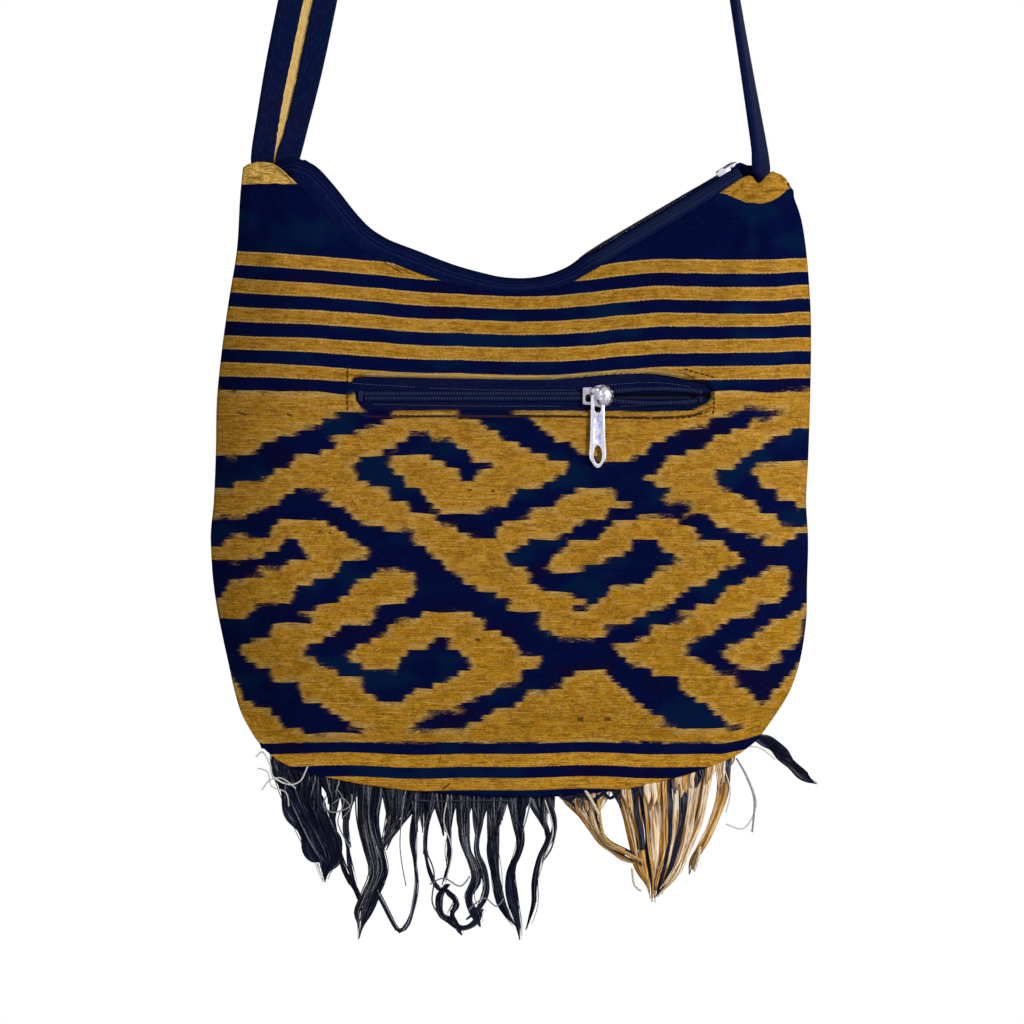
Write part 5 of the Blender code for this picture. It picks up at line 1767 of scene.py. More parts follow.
@dataclass
class TopZip:
    """The curved zip along the top: facings, coils, stop, slider, pull and end tab."""

    tape: bpy.types.Material
    nylon: bpy.types.Material
    metal: bpy.types.Material
    thread: bpy.types.Material
    turning: bpy.types.Material
    facing_cloth: bpy.types.Material
    start_x: float = across(584.8)
    start_z: float = height(253.65)
    rise: float = math.radians(31.0)
    reach: float = 72.3
    tooth_pitch: float = 1.35

    def crest(self, behind_corner: bool = False) -> tuple[np.ndarray, np.ndarray, np.ndarray, np.ndarray]:
        """The line along the top zip.

        Args:
            behind_corner: whether it starts behind the left corner, past the strap's foot.

        Returns:
            Its points, tangents, outward normals and distances to the panels' edge.
        """
        first = on_grid(((270, 168), (277, 162.5), (286, 158.5), (295, 158))) if behind_corner else []
        line = rounded([*first, *CREST_LINE], 8)
        steps = np.append(np.arange(9.0, self.reach, 3.0), (self.reach + 1.1, self.reach + 6.2))
        heading = (math.cos(self.rise), math.sin(self.rise))
        straight = np.array((self.start_x, self.start_z)) + steps[:, None] * heading
        line = even(np.vstack([line, straight]), 240)
        tangent = np.gradient(line, axis=0)
        tangent /= np.linalg.norm(tangent, axis=1, keepdims=True)
        normal = np.stack([-tangent[:, 1], tangent[:, 0]], axis=1)
        edge = rounded(TOP_LEFT, 8)
        drop = np.array([np.hypot(*(edge - p).T).min() for p in line])
        drop = np.convolve(np.pad(np.clip(drop, 6.0, 11.0), 6, "edge"), np.ones(13) / 13.0, "valid")
        return line, tangent, normal, drop

    @staticmethod
    def spread(x: np.ndarray | float) -> np.ndarray | float:
        """How wide the two facings stand apart at places across the bag, as a share of the widest."""
        return (np.interp(x - 5.0, TOP_DEPTH[:, 0], TOP_DEPTH[:, 1]) - 1.5) / 6.1

    def facing(self, side: Side) -> bpy.types.Object:
        """One folded facing strip between the coil and the cloth.

        Args:
            side: which side of the bag it is on.

        Returns:
            The piece.
        """
        line, _, normal, drop = self.crest(behind_corner=True)
        run = lengths_along(line)
        points, uvs = [], []
        for i, (x, z) in enumerate(line):
            wide = max(self.spread(x), 0.5)
            low = drop[i]
            rise = float(smooth((across(596) - x) / 6.0)) * 1.15
            profile = rounded([(1.1, -1.9 + rise), (2.0, -1.65 + rise), (2.8, -1.85 + rise * 0.9),
                               (3.5 * wide, -2.9 + rise * 0.5), (4.5 * wide, -3.9), (5.3 * wide, -4.7),
                               (6.0 * wide, -low * 0.72), (6.2 * wide, -low), (6.0 * wide, -low - 3.2)], 3)
            deep = profile[:, 1]
            out = side.value * (profile[:, 0] - 0.3 * np.exp(-((deep + 4.3) / 0.35) ** 2))
            points.append(np.stack([x + normal[i, 0] * deep, out, z + normal[i, 1] * deep], axis=1))
            uvs.append(np.stack([lengths_along(profile), np.full(len(profile), run[i])], axis=1) / 1000.0)
        faces = grid_faces(len(points), len(points[0]), flip=side is Side.FRONT)
        name = f"top_facing_{side.word}"
        made = thicken(new_piece(name, np.vstack(points), faces, self.facing_cloth, np.vstack(uvs)), 0.6)
        return hand_over(made, "bag", "navy_tape", f"main_tape_{side.word}")

    def coil(self, side: Side) -> bpy.types.Object:
        """The interlocked teeth of one side, spread a little past the slider.

        Args:
            side: which side of the bag it is on.

        Returns:
            The piece.
        """
        line, tangent, normal, _ = self.crest()
        run = lengths_along(line)
        tooth = HandModelled.block("tooth", (0.75, 2.0, 0.95), 0.28, 1)
        end = run[-1] - 5.5
        closed_to = run[-1] - 7.2
        sunk = -0.62
        first = 9.0 if side is Side.FRONT else 9.5
        spots = []
        for step in np.arange(first, end / self.tooth_pitch):
            goal = step * self.tooth_pitch
            i = int(np.clip(np.searchsorted(run, goal), 1, len(run) - 1))
            share = (goal - run[i - 1]) / (run[i] - run[i - 1])
            x, z = line[i - 1] + (line[i] - line[i - 1]) * share
            apart = 1.02 if goal < closed_to else 1.75
            origin = (x + normal[i, 0] * sunk, side.value * apart, z + normal[i, 1] * sunk)
            along, up = (tangent[i, 0], 0, tangent[i, 1]), (normal[i, 0], 0, normal[i, 1])
            spots.append(turned(origin, along, (0, 1, 0), up))
        made = stamp(f"top_coil_{side.word}", tooth, spots, self.nylon)
        return hand_over(made, "bag", "zip_coil", f"main_coil_{side.word}")

    def seams(self) -> bpy.types.Object:
        """The stitches that hold the facings."""
        line, _, normal, drop = self.crest()
        tubes = Tubes(5)
        for side in Side:
            for reach, lift in ((np.full(len(line), 4.9), 5.62), (drop - 1.6, 6.35)):
                y = side.value * (lift * self.spread(line[:, 0]) - 0.02)
                x, z = (line - normal * reach[:, None]).T
                tubes.stitches(np.stack([x, y, z], axis=1)[4:-8], 2.3, 0.14, 0.12)
        made = tubes.build("facing_stitches", self.thread)
        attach(made, "bag")
        return made

    def slider(self) -> bpy.types.Object:
        """The slider: a bright body across the crest, a small arm and a bridge over it, painted dark as
        shadow.
        """
        plate = HandModelled.plate
        body = ((716.2, 173.0), (717.6, 177.0), (720.4, 178.4), (731.4, 172.0), (729.0, 166.4),
                (724.0, 169.2))
        waist = ((714, 176.0), (715, 182.0), (734, 171.5), (733, 166.5))
        arm = ((726.5, 167.6), (735.4, 162.9), (736.2, 164.4), (729.8, 168.4))
        bridge = ((722.6, 171.5), (723.6, 167.6), (727.0, 164.6), (731.0, 162.6), (735.4, 162.0),
                  (737.6, 163.8), (736.6, 168.4), (728.0, 172.6))
        made = plate("top_zip_slider", on_grid(body), -3.5, 3.5, 0.45)
        HandModelled.carve(made, plate("waist", on_grid(waist), -1.9, 1.9))
        arms = [plate("arm", on_grid(arm), side.value * 2.9, side.value * 2.1, 0.2) for side in Side]
        HandModelled.join(made, [*arms, plate("bridge", on_grid(bridge), -1.7, 1.7, 0.35)])
        points = bag_points(made)
        above = (points[:, 2] - self.start_z) - np.tan(self.rise) * (points[:, 0] - self.start_x)
        middle = np.abs(points[:, 1]) < 1.75
        # painted shadow: what lies above the zip line within 1.75 mm of the middle plane, the bridge, is
        # painted dark
        keep_value(made, "dark", np.clip((above + 0.2) / 0.3, 0.0, 1.0) * middle * 0.97)
        return hand_over(dress(made, self.metal), "main_slider", "plated_metal", "main_slider")

    def pull(self) -> bpy.types.Object:
        """The pull behind the bag, painted dark near its hinge as shade, its eye lowered so that it stays
        under the crest.
        """
        made = HandModelled.refined("main_pull", "top_zip_pull", 0.18, self.metal, "plated_metal",
                                    "main_pull")
        points = bag_points(made)
        # painted shade: the pull darkens towards the middle plane, by its hinge
        keep_value(made, "dark", np.clip((6.0 - points[:, 1]) / 2.0, 0.0, 0.97))
        hinge_x, hinge_z = at(718.9, 164.8)
        up, right = math.cos(self.rise), math.sin(self.rise)
        rise = (points[:, 2] - hinge_z) * up - (points[:, 0] - hinge_x) * right
        dip = np.maximum(rise + 3.0, 0.0) * 0.68 * smooth((8.0 - points[:, 1]) / 4.5)
        points[:, 0] += dip * right
        points[:, 2] -= dip * up
        for vertex, point in zip(made.data.vertices, place(points)):
            vertex.co = point
        return made

    def end_fold(self) -> bpy.types.Object:
        """The tapes' end, folded into a lump between the slider and the strap's foot."""
        outline = on_grid(((735.5, 166.0), (738.0, 162.8), (742, 163.2), (746, 165.4), (752, 165.7),
                           (756, 167), (756.5, 181), (750, 183), (741, 184), (737, 178)))
        points = np.array([(x, y, z) for y in (-3.7, 3.7) for x, z in outline])
        count = len(outline)
        faces = [tuple(range(count)), tuple(range(2 * count - 1, count - 1, -1))]
        faces += [(i, (i + 1) % count, count + (i + 1) % count, count + i) for i in range(count)]
        made = outward(new_piece("top_zip_end", points, faces, self.tape, points[:, [1, 2]] / 1000.0))
        make_active(made)
        bpy.ops.object.mode_set(mode="EDIT")
        bpy.ops.mesh.select_all(action="SELECT")
        bpy.ops.mesh.bevel(offset=0.0011, segments=4, profile=0.6, affect="EDGES")
        bpy.ops.object.mode_set(mode="OBJECT")
        return hand_over(dress(made, self.tape, 50.0), "bag", "navy_tape", "main_end_tab")

    def back_edge(self) -> bpy.types.Object:
        """The back panel's ochre turning, which just shows over the crest on the right."""
        line, _, normal, _ = self.crest()
        here = (line[:, 0] > across(566)) & (line[:, 0] < across(716))
        share = np.linspace(0.0, 1.0, int(here.sum()))
        lift = np.interp(share, (0.0, 0.1, 0.3, 0.8, 1.0), (-1.4, -0.25, -0.12, -0.3, -0.7))
        x, z = (line[here] + normal[here] * lift[:, None]).T
        tubes = Tubes(6)
        tubes.add(np.stack([x, np.full(len(x), 3.4), z], axis=1),
                  np.interp(share, (0.0, 0.1, 0.35, 1.0), (0.3, 0.75, 0.6, 0.4)), 0.35)
        made = tubes.build("back_edge_turning", self.turning)
        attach(made, "bag")
        return made

    def build(self) -> list[bpy.types.Object]:
        """Makes the whole top zip."""
        made = [self.facing(side) for side in Side] + [self.coil(side) for side in Side]
        made.append(self.seams())
        stop = HandModelled.refined("main_bottom_stop", "top_zip_stop", 0.35, self.nylon, "zip_coil", "bag")
        return made + [stop, self.slider(), self.pull(), self.end_fold(), self.back_edge()]


@dataclass
class PocketZip:
    """The zip in the front: tapes, coils, stops, slider and its long pull."""

    tape: bpy.types.Material
    nylon: bpy.types.Material
    metal: bpy.types.Material
    thread: bpy.types.Material
    z: float = height(397.0)
    left: float = across(350.0)
    right: float = across(712.0)
    slider_x: float = across(597.0)
    tooth_pitch: float = 1.25
    tape_gap: float = 1.1

    def tape_strip(self, upper: bool) -> bpy.types.Object:
        """One woven tape behind the slit.

        Args:
            upper: whether it is the tape above the coil.

        Returns:
            The piece.
        """
        sign = 1.0 if upper else -1.0
        wide, dip = (13.0, 0.45) if upper else (9.8, 0.0)
        length = self.right - self.left
        x = np.linspace(self.left - 0.04 * length, self.left + 1.03 * length, 150)
        over = np.linspace(self.tape_gap, wide, 14)
        points, uvs = [], []
        for v in over:
            share = (v - self.tape_gap) / (wide - self.tape_gap)
            y = -FORM.depth(x, np.full(x.shape, self.z)) + 1.5 + dip * share + 0.08 * np.sin(x / 6.0 + v)
            y -= 0.25 * math.exp(-((v - 3.2) / 0.8) ** 2)
            points.append(np.stack([x, y, np.full(x.shape, self.z + sign * v)], axis=1))
            uvs.append(np.stack([np.full(x.shape, v), x], axis=1) / 1000.0)
        faces = grid_faces(len(over), len(x), flip=not upper)
        name = "pocket_tape_top" if upper else "pocket_tape_low"
        made = thicken(new_piece(name, np.vstack(points), faces, self.tape, np.vstack(uvs)), 0.6)
        return hand_over(made, "bag", "navy_tape", "pocket_tape_upper" if upper else "pocket_tape_lower")

    def coil(self, upper: bool) -> bpy.types.Object:
        """The teeth of one side: closed left of the slider, parted on its right.

        Args:
            upper: whether they are the teeth above the slit's middle.

        Returns:
            The piece.
        """
        sign = 1.0 if upper else -1.0
        tooth = HandModelled.block("tooth", (1.2, 0.95, 2.0), 0.24, 1)
        low, high = self.left + 6.9, self.right - 7.2
        spots = []
        for x in np.arange(low + (0.0 if upper else self.tooth_pitch / 2), high, self.tooth_pitch):
            past = x - self.slider_x
            apart = 0.12 + 0.85 * float(smooth((past - 0.4) / 2.2))
            if past > 6.5:
                apart += 1.3 * math.sin(math.pi * min((past - 6.5) / 40.0, 1.0)) ** 0.8
            origin = (x, -FORM.half_depth + 0.68, self.z + sign * (apart + 0.95))
            spots.append(turned(origin, (1, 0, 0), (0, 1, 0), (0, 0, 1)))
        made = stamp("pocket_teeth_top" if upper else "pocket_teeth_low", tooth, spots, self.nylon)
        return hand_over(made, "bag", "zip_coil", "pocket_coil_upper" if upper else "pocket_coil_lower")

    def seams(self) -> bpy.types.Object:
        """The light thread that shows in places on the tapes."""
        tubes = Tubes(5)
        for points in (((350, 384), (380, 386), (416, 388)), ((430, 389), (500, 391), (576, 391)),
                       ((606, 386), (640, 383.5), (668, 384.5), (690, 388)),
                       ((375, 405), (450, 406.5), (560, 407)), ((620, 407), (690, 405))):
            x, z = rounded(on_grid(points), 8).T
            y = -FORM.depth(x, np.full(len(x), self.z)) + 1.25
            tubes.stitches(np.stack([x, y, z], axis=1), 1.5, 0.17, 0.9)
        made = tubes.build("tape_stitches", self.thread)
        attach(made, "bag")
        return made

    def slider(self) -> bpy.types.Object:
        """The pocket's slider: a hollow block, a saddle and a dome that covers the pull's right arm."""
        rim = ((585.0, 396.0), (589.6, 395.6), (590.0, 402.6), (585.0, 402.0), (585.0, 396.0))
        hole = HandModelled.plate("hole", rounded(on_grid(rim), 3)[:-1], -40.0, -18.2)
        made = HandModelled.refined("pocket_slider", "pocket_zip_slider", 0.3, self.metal, "plated_metal",
                                    "pocket_slider", (hole,))
        own = {tuple(np.round(v.co, 7)) for v in made.data.vertices}
        lumps = [HandModelled.cushion(name, (across(column), y, height(row)), radii, lean)
                 for name, column, row, y, radii, lean in (
                     ("dome", 603.6, 397.0, -19.2, (3.95, 3.0, 4.75), 0.0),
                     ("saddle", 594.6, 392.4, -19.4, (2.6, 2.1, 2.2), -18.0),
                     ("rivet", 599.8, 400.4, -20.6, (1.25, 1.5, 1.9), 12.0))]
        HandModelled.join(made, lumps)
        block = np.array([tuple(np.round(v.co, 7)) in own for v in made.data.vertices])
        x, y, z = bag_points(made).T
        inside = (np.abs(x - across(587.4)) < 1.4) & (np.abs(z - height(399.0)) < 1.9) & (y > -18.6)
        # painted dark reflections: full on the dome, saddle and rivet, a quarter as strong on the block
        keep_value(made, "swirl", np.where(block, 0.25, 1.0))
        # painted shadow in the block's hollow; the block itself is painted a third of the way to the dark
        # colour
        keep_value(made, "dark", np.maximum(inside * 0.9, block * 0.33))
        return dress(made, self.metal, 45.0)

    def pull(self) -> bpy.types.Object:
        """The long pull with its raised rims, hollow middle and oval eye."""
        plate = HandModelled.plate
        rim = ((594.4, 417.0), (597.2, 415.4), (600.2, 417.0), (601.1, 430.0), (601.4, 441.0), (597.3, 444.4),
               (593.1, 441.0), (593.5, 430.0), (594.4, 417.0))
        neck = ((594.0, 403.0), (600.9, 403.0), (599.4, 410.0), (597.4, 413.6), (595.6, 410.0))
        turns = np.linspace(0.0, 2.0 * math.pi, 29)[:-1]
        oval = [(597.2 + 4.2 * math.cos(turn), 455.4 + 8.9 * math.sin(turn)) for turn in turns]
        hollows = (plate("hollow", rounded(on_grid(rim), 4)[:-1], -40.0, -20.28),
                   plate("eye", on_grid(oval), -40.0, -10.0), plate("slot", on_grid(neck), -40.0, -10.0))
        made = HandModelled.refined("pocket_pull", "pocket_zip_pull", 0.14, self.metal, "plated_metal",
                                    "pocket_pull", hollows)
        x, y, z = bag_points(made).T
        middle = (np.abs(x - across(597.2)) < 1.95) & (np.abs(z - height(430.0)) < 6.7)
        # painted shade: the recessed middle gets the darker, bluish hollow colour
        keep_value(made, "hollow", (middle & (y > -20.45)) * 1.0)
        return made

    def build(self) -> list[bpy.types.Object]:
        """Makes the whole pocket zip."""
        made = [self.tape_strip(True), self.tape_strip(False), self.coil(True), self.coil(False)]
        made.append(self.seams())
        for node in ("pocket_bottom_stop", "pocket_top_stop_upper", "pocket_top_stop_lower"):
            made.append(HandModelled.refined(node, node + "_enamel", 0.3, self.nylon, "zip_coil", "bag"))
        return made + [self.slider(), self.pull()]


@dataclass
class InnerBags:
    """The lining and the pocket behind the slit, softly creased."""

    lining: bpy.types.Material
    pocket: bpy.types.Material

    def soft(self, node: str, name: str, material: bpy.types.Material) -> bpy.types.Object:
        """A creased cloth version of a soft node.

        Args:
            node: the node that it stands for.
            name: the piece's name.
            material: its finish.

        Returns:
            The piece.
        """
        made = merged_copy(node, name)
        bpy.ops.mesh.tris_convert_to_quads()
        bpy.ops.mesh.subdivide(number_cuts=3, smoothness=0.0)
        bpy.ops.object.mode_set(mode="OBJECT")
        points = np.array([v.co for v in made.data.vertices])
        x, _, z = points.T
        points[:, 1] += 0.00022 * (np.sin(x * 190 + z * 70) + np.sin(z * 230 - x * 50))
        made.data.vertices.foreach_set("co", points.ravel())
        made.data.update()
        made.data.materials.clear()
        made.data.materials.append(material)
        made.data.shade_smooth()
        return hand_over(made, "bag", "lining_cloth", node)

    def build(self) -> list[bpy.types.Object]:
        """Makes both inner bags."""
        return [self.soft("lining", "lining_cloth", self.lining),
                self.soft("pocket_bag", "pocket_cloth", self.pocket)]


NAVY_HANKS = (
    ((284, 752, 13, 0.0), (289, 768, 16, 0.0), (301, 800, 18, 0.4), (318, 836, 19, 0.5),
     (328, 858, 14, 0.5), (325, 870, 7, 0.4), (324, 882, 1.5, 0.4)),
    ((334, 768, 5, 0.0), (335, 783, 4.5, 0.0), (332, 805, 3, 0.8), (335, 838, 2.6, 0.6),
     (343, 864, 2.2, 0.4), (356, 892, 2.2, 0.4), (361, 914, 1.5, 0.2)),
    ((352, 774, 7, 0.0), (352, 787, 5, 0.0), (346, 822, 2.4, -0.8), (350, 862, 2.0, -0.4),
     (359, 895, 2.0, 0.0)),
    ((372, 778, 12, 0.0), (370, 792, 13, 0.0), (368, 822, 10, 0.4), (374, 850, 10, 0.4), (378, 872, 9, 0.4),
     (370, 895, 9, 0.2), (363, 912, 8, 0.2), (361, 926, 3, 0), (359, 937, 1, 0)),
    ((404, 781, 14, 0.0), (404, 794, 15, 0.0), (398, 814, 11, 0.7), (389, 836, 5, 0.9), (383, 850, 3, 0.6)),
    ((376, 890, 3, 0.2), (384, 905, 2.4, 0.4), (395, 926, 2.2, 0.3), (401, 931, 2.6, 0.2),
     (410, 918, 1.8, 0.2), (416, 890, 1.6, 0.2), (414, 862, 1.6, 0.2), (413, 835, 3, 0.2),
     (420, 797, 6, 0.0), (420, 784, 6, 0.0)),
    ((434, 784, 5, 0.0), (434, 797, 5, 0.0), (427, 822, 2.2, 0.8), (425, 852, 1.8, 0.6),
     (431, 876, 1.8, 0.5), (440, 888, 2.2, 0.4), (450, 890, 2.0, 0.2)),
    ((446, 785, 5, 0.0), (446, 798, 5, 0.0), (449, 832, 1.8, -0.8), (449, 862, 1.6, -0.6),
     (443, 884, 1, -0.4)),
    ((462, 786, 8, 0.0), (463, 799, 8, 0.0), (464, 834, 5, 0.4), (467, 852, 4, 0.4), (472, 862, 4.5, 0.4),
     (476, 878, 4.5, 0.3), (469, 898, 4.0, 0.2), (476, 914, 4, 0), (480, 925, 2, 0)),
    ((448, 884, 2.5, 0.2), (440, 896, 3.2, 0.3), (440, 912, 3.4, 0.2), (450, 922, 3.0, 0.2),
     (462, 928, 3.0, 0.2), (474, 922, 3.0, 0.2), (484, 908, 2.6, 0.2)),
    ((444, 888, 2.0, -0.4), (456, 900, 2.6, -0.3), (452, 914, 2.6, -0.2), (462, 934, 1.6, 0.0)),
    ((482, 788, 6, 0.0), (482, 800, 6, 0.0), (478, 832, 3, -0.6), (477, 850, 2.6, -0.5),
     (484, 870, 3, -0.4), (486, 890, 3, -0.2), (478, 908, 2.5, -0.1), (466, 918, 2, 0)),
    ((496, 788, 7, 0.0), (496, 801, 7, 0.0), (493, 842, 5.5, 0.4), (495, 870, 5.0, 0.4),
     (499, 896, 4.2, 0.2), (508, 914, 3, 0.2), (517, 926, 2, 0)),
    ((513, 788, 7, 0.0), (513, 801, 6, 0.0), (520, 836, 4.0, -0.5), (518, 852, 3.6, -0.4),
     (511, 872, 4, -0.3), (512, 900, 5, 0), (517, 920, 3.4, 0), (521, 939, 1, 0)),
    ((532, 788, 6, 0.0), (534, 801, 5, 0.0), (543, 822, 3.0, 0.4), (548, 838, 2.6, 0.4),
     (539, 858, 2.6, 0.4), (535, 880, 2.6, 0.3), (534, 905, 2.2, 0.2), (525, 931, 1.5, 0)),
    ((548, 790, 4.5, 0.0), (549, 801, 3.5, 0.0), (554, 828, 1.2, -0.5), (547, 852, 1.0, -0.4),
     (541, 866, 0.8, -0.1)),
)
GOLD_HANKS = (
    ((572, 784, 12, 0.0), (574, 797, 11, 0.0), (590, 822, 6.5, 0.4), (603, 843, 5.5, 0.5),
     (622, 856, 5, 0.4), (640, 864, 4, 0.2)),
    ((597, 781, 9, 0.0), (596, 793, 7, 0.0), (594, 818, 3.6, -0.6), (606, 840, 3.6, -0.6),
     (628, 852, 3.6, -0.3), (640, 866, 3, 0)),
    ((622, 778, 8, 0.0), (623, 790, 8, 0.0), (631, 822, 7, 0.7), (638, 858, 6, 0.6), (648, 888, 3, 0.2)),
    ((641, 774, 9, 0.0), (642, 787, 10, 0.0), (647, 830, 9, -0.5), (650, 868, 7, -0.3), (653, 900, 2.0, 0)),
    ((662, 770, 9, 0.0), (662, 782, 10, 0.0), (664, 828, 9, 0.6), (660, 868, 7, 0.5), (655, 896, 2.5, 0)),
    ((684, 764, 10, 0.0), (684, 776, 11, 0.0), (681, 824, 9, -0.5), (672, 862, 6, -0.3),
     (659, 892, 2.5, 0)),
    ((704, 757, 9, 0.0), (704, 769, 9, 0.0), (699, 806, 7.5, 0.6), (690, 842, 5, 0.5), (674, 874, 3.5, 0.2),
     (657, 896, 2, 0)),
    ((724, 751, 6, 0.0), (724, 763, 7, 0.0), (722, 796, 5.5, -0.5), (710, 830, 3.8, -0.3),
     (694, 858, 3.0, -0.1), (690, 872, 2, 0)),
)
SIDE_HANK = ((748, 732, 3.0, 0.0), (760, 737, 4.5, 0.0), (772, 743, 7.0, 0.5), (783, 755, 6.0, 0.6),
             (797, 768, 5.0, 0.5), (808, 777, 3.4, 0.5), (818, 784, 1.2, 0.4))
LOOSE_THREADS = (
    ("white", ((256, 757, -1.0), (263, 752, -1.5), (270, 764, -2.4), (273, 776, -2.8), (284, 783, -2.8)),
     0.26, 0.9),
    ("white", ((272, 776, -2.6), (288, 784, -2.8), (300, 781, -2.8), (307, 768, -3.0), (314, 748, -3.6)),
     0.24, 0.9),
    ("white", ((258, 768, -1.2), (268, 772, -2.2), (272, 786, -2.6), (286, 792, -2.6), (289, 806, -2.2)),
     0.2, 0.7),
    ("white", ((262, 790, -1.4), (270, 780, -2.2), (282, 778, -2.6), (296, 788, -2.6)), 0.22, 0.8),
    ("silver", ((326, 796, -1.8), (324, 806, -2.2), (334, 812, -2.4), (350, 806, -2.2), (352, 794, -1.8)),
     0.26, 0.8),
    ("silver", ((330, 806, -1.6), (342, 798, -2.2), (350, 808, -2.2), (342, 818, -2.0)), 0.22, 0.7),
    ("silver", ((338, 790, -1.8), (344, 802, -2.2), (338, 822, -2.2), (350, 848, -1.6)), 0.22, 0.6),
    ("silver", ((404, 800, -2.2), (400, 845, -2.2), (406, 886, -1.0)), 0.2, 0.7),
    ("white", ((447, 800, -1.8), (444, 822, -2.0), (452, 850, -1.8), (446, 880, -1.0)), 0.2, 0.7),
    ("grey", ((428, 812, -1.8), (424, 842, -2.0), (434, 872, -1.8), (432, 900, -1.4), (437, 912, -1.2)),
     0.26, 0.9),
    ("grey", ((414, 799.5, -2.2), (440, 801, -2.4), (470, 800, -2.4), (512, 800.5, -2.2)), 0.2, 0.9),
    ("silver", ((430, 884, -1.6), (444, 878, -1.8), (460, 886, -1.8), (470, 876, -1.4)), 0.26, 0.6),
    ("silver", ((468, 910, -1.6), (484, 898, -1.8), (496, 906, -1.6), (504, 898, -1.2)), 0.24, 0.6),
    ("white", ((545, 800, -1.4), (553, 830, -1.6), (545, 856, -1.2), (538, 880, -0.8)), 0.22, 0.6),
    ("grey", ((548, 796, -1.4), (556, 820, -1.6), (552, 846, -1.4), (542, 862, -1.0)), 0.32, 0.9),
    ("silver", ((736, 758, -1.6), (746, 776, -1.8), (754, 800, -1.6), (752, 832, -1.2)), 0.34, 0.8),
    ("white", ((738, 760, -1.4), (750, 782, -1.6), (756, 806, -1.4), (744, 828, -1.2), (726, 824, -1.0)),
     0.24, 0.7),
    ("white", ((742, 746, -1.4), (760, 748, -1.8), (776, 760, -1.6)), 0.2, 0.8),
    ("white", ((724, 768, -2.0), (730, 790, -2.2), (726, 812, -1.8)), 0.2, 0.7),
    ("gold", ((598, 800, -2.4), (604, 836, -2.6), (624, 851, -2.4), (645, 862, -2.2)), 0.5, 0.7),
    ("navy", ((556, 790, -1.8), (568, 800, -2.4), (580, 794, -2.4), (592, 800, -2.2), (606, 791, -1.8)),
     0.55, 0.3),
    ("navy", ((602, 790, -1.8), (610, 798, -2.2), (620, 791, -1.8)), 0.6, 0.3),
    ("cream", ((585, 790, -2.4), (592, 801, -2.8), (599, 814, -2.6)), 0.5, 0.8),
    ("cream", ((700, 846, -2.2), (698, 858, -2.4), (694, 871, -2.0)), 0.42, 0.8),
    ("cream", ((632, 868, -2.0), (634, 884, -2.0), (641, 891, -1.6)), 0.35, 0.7),
)


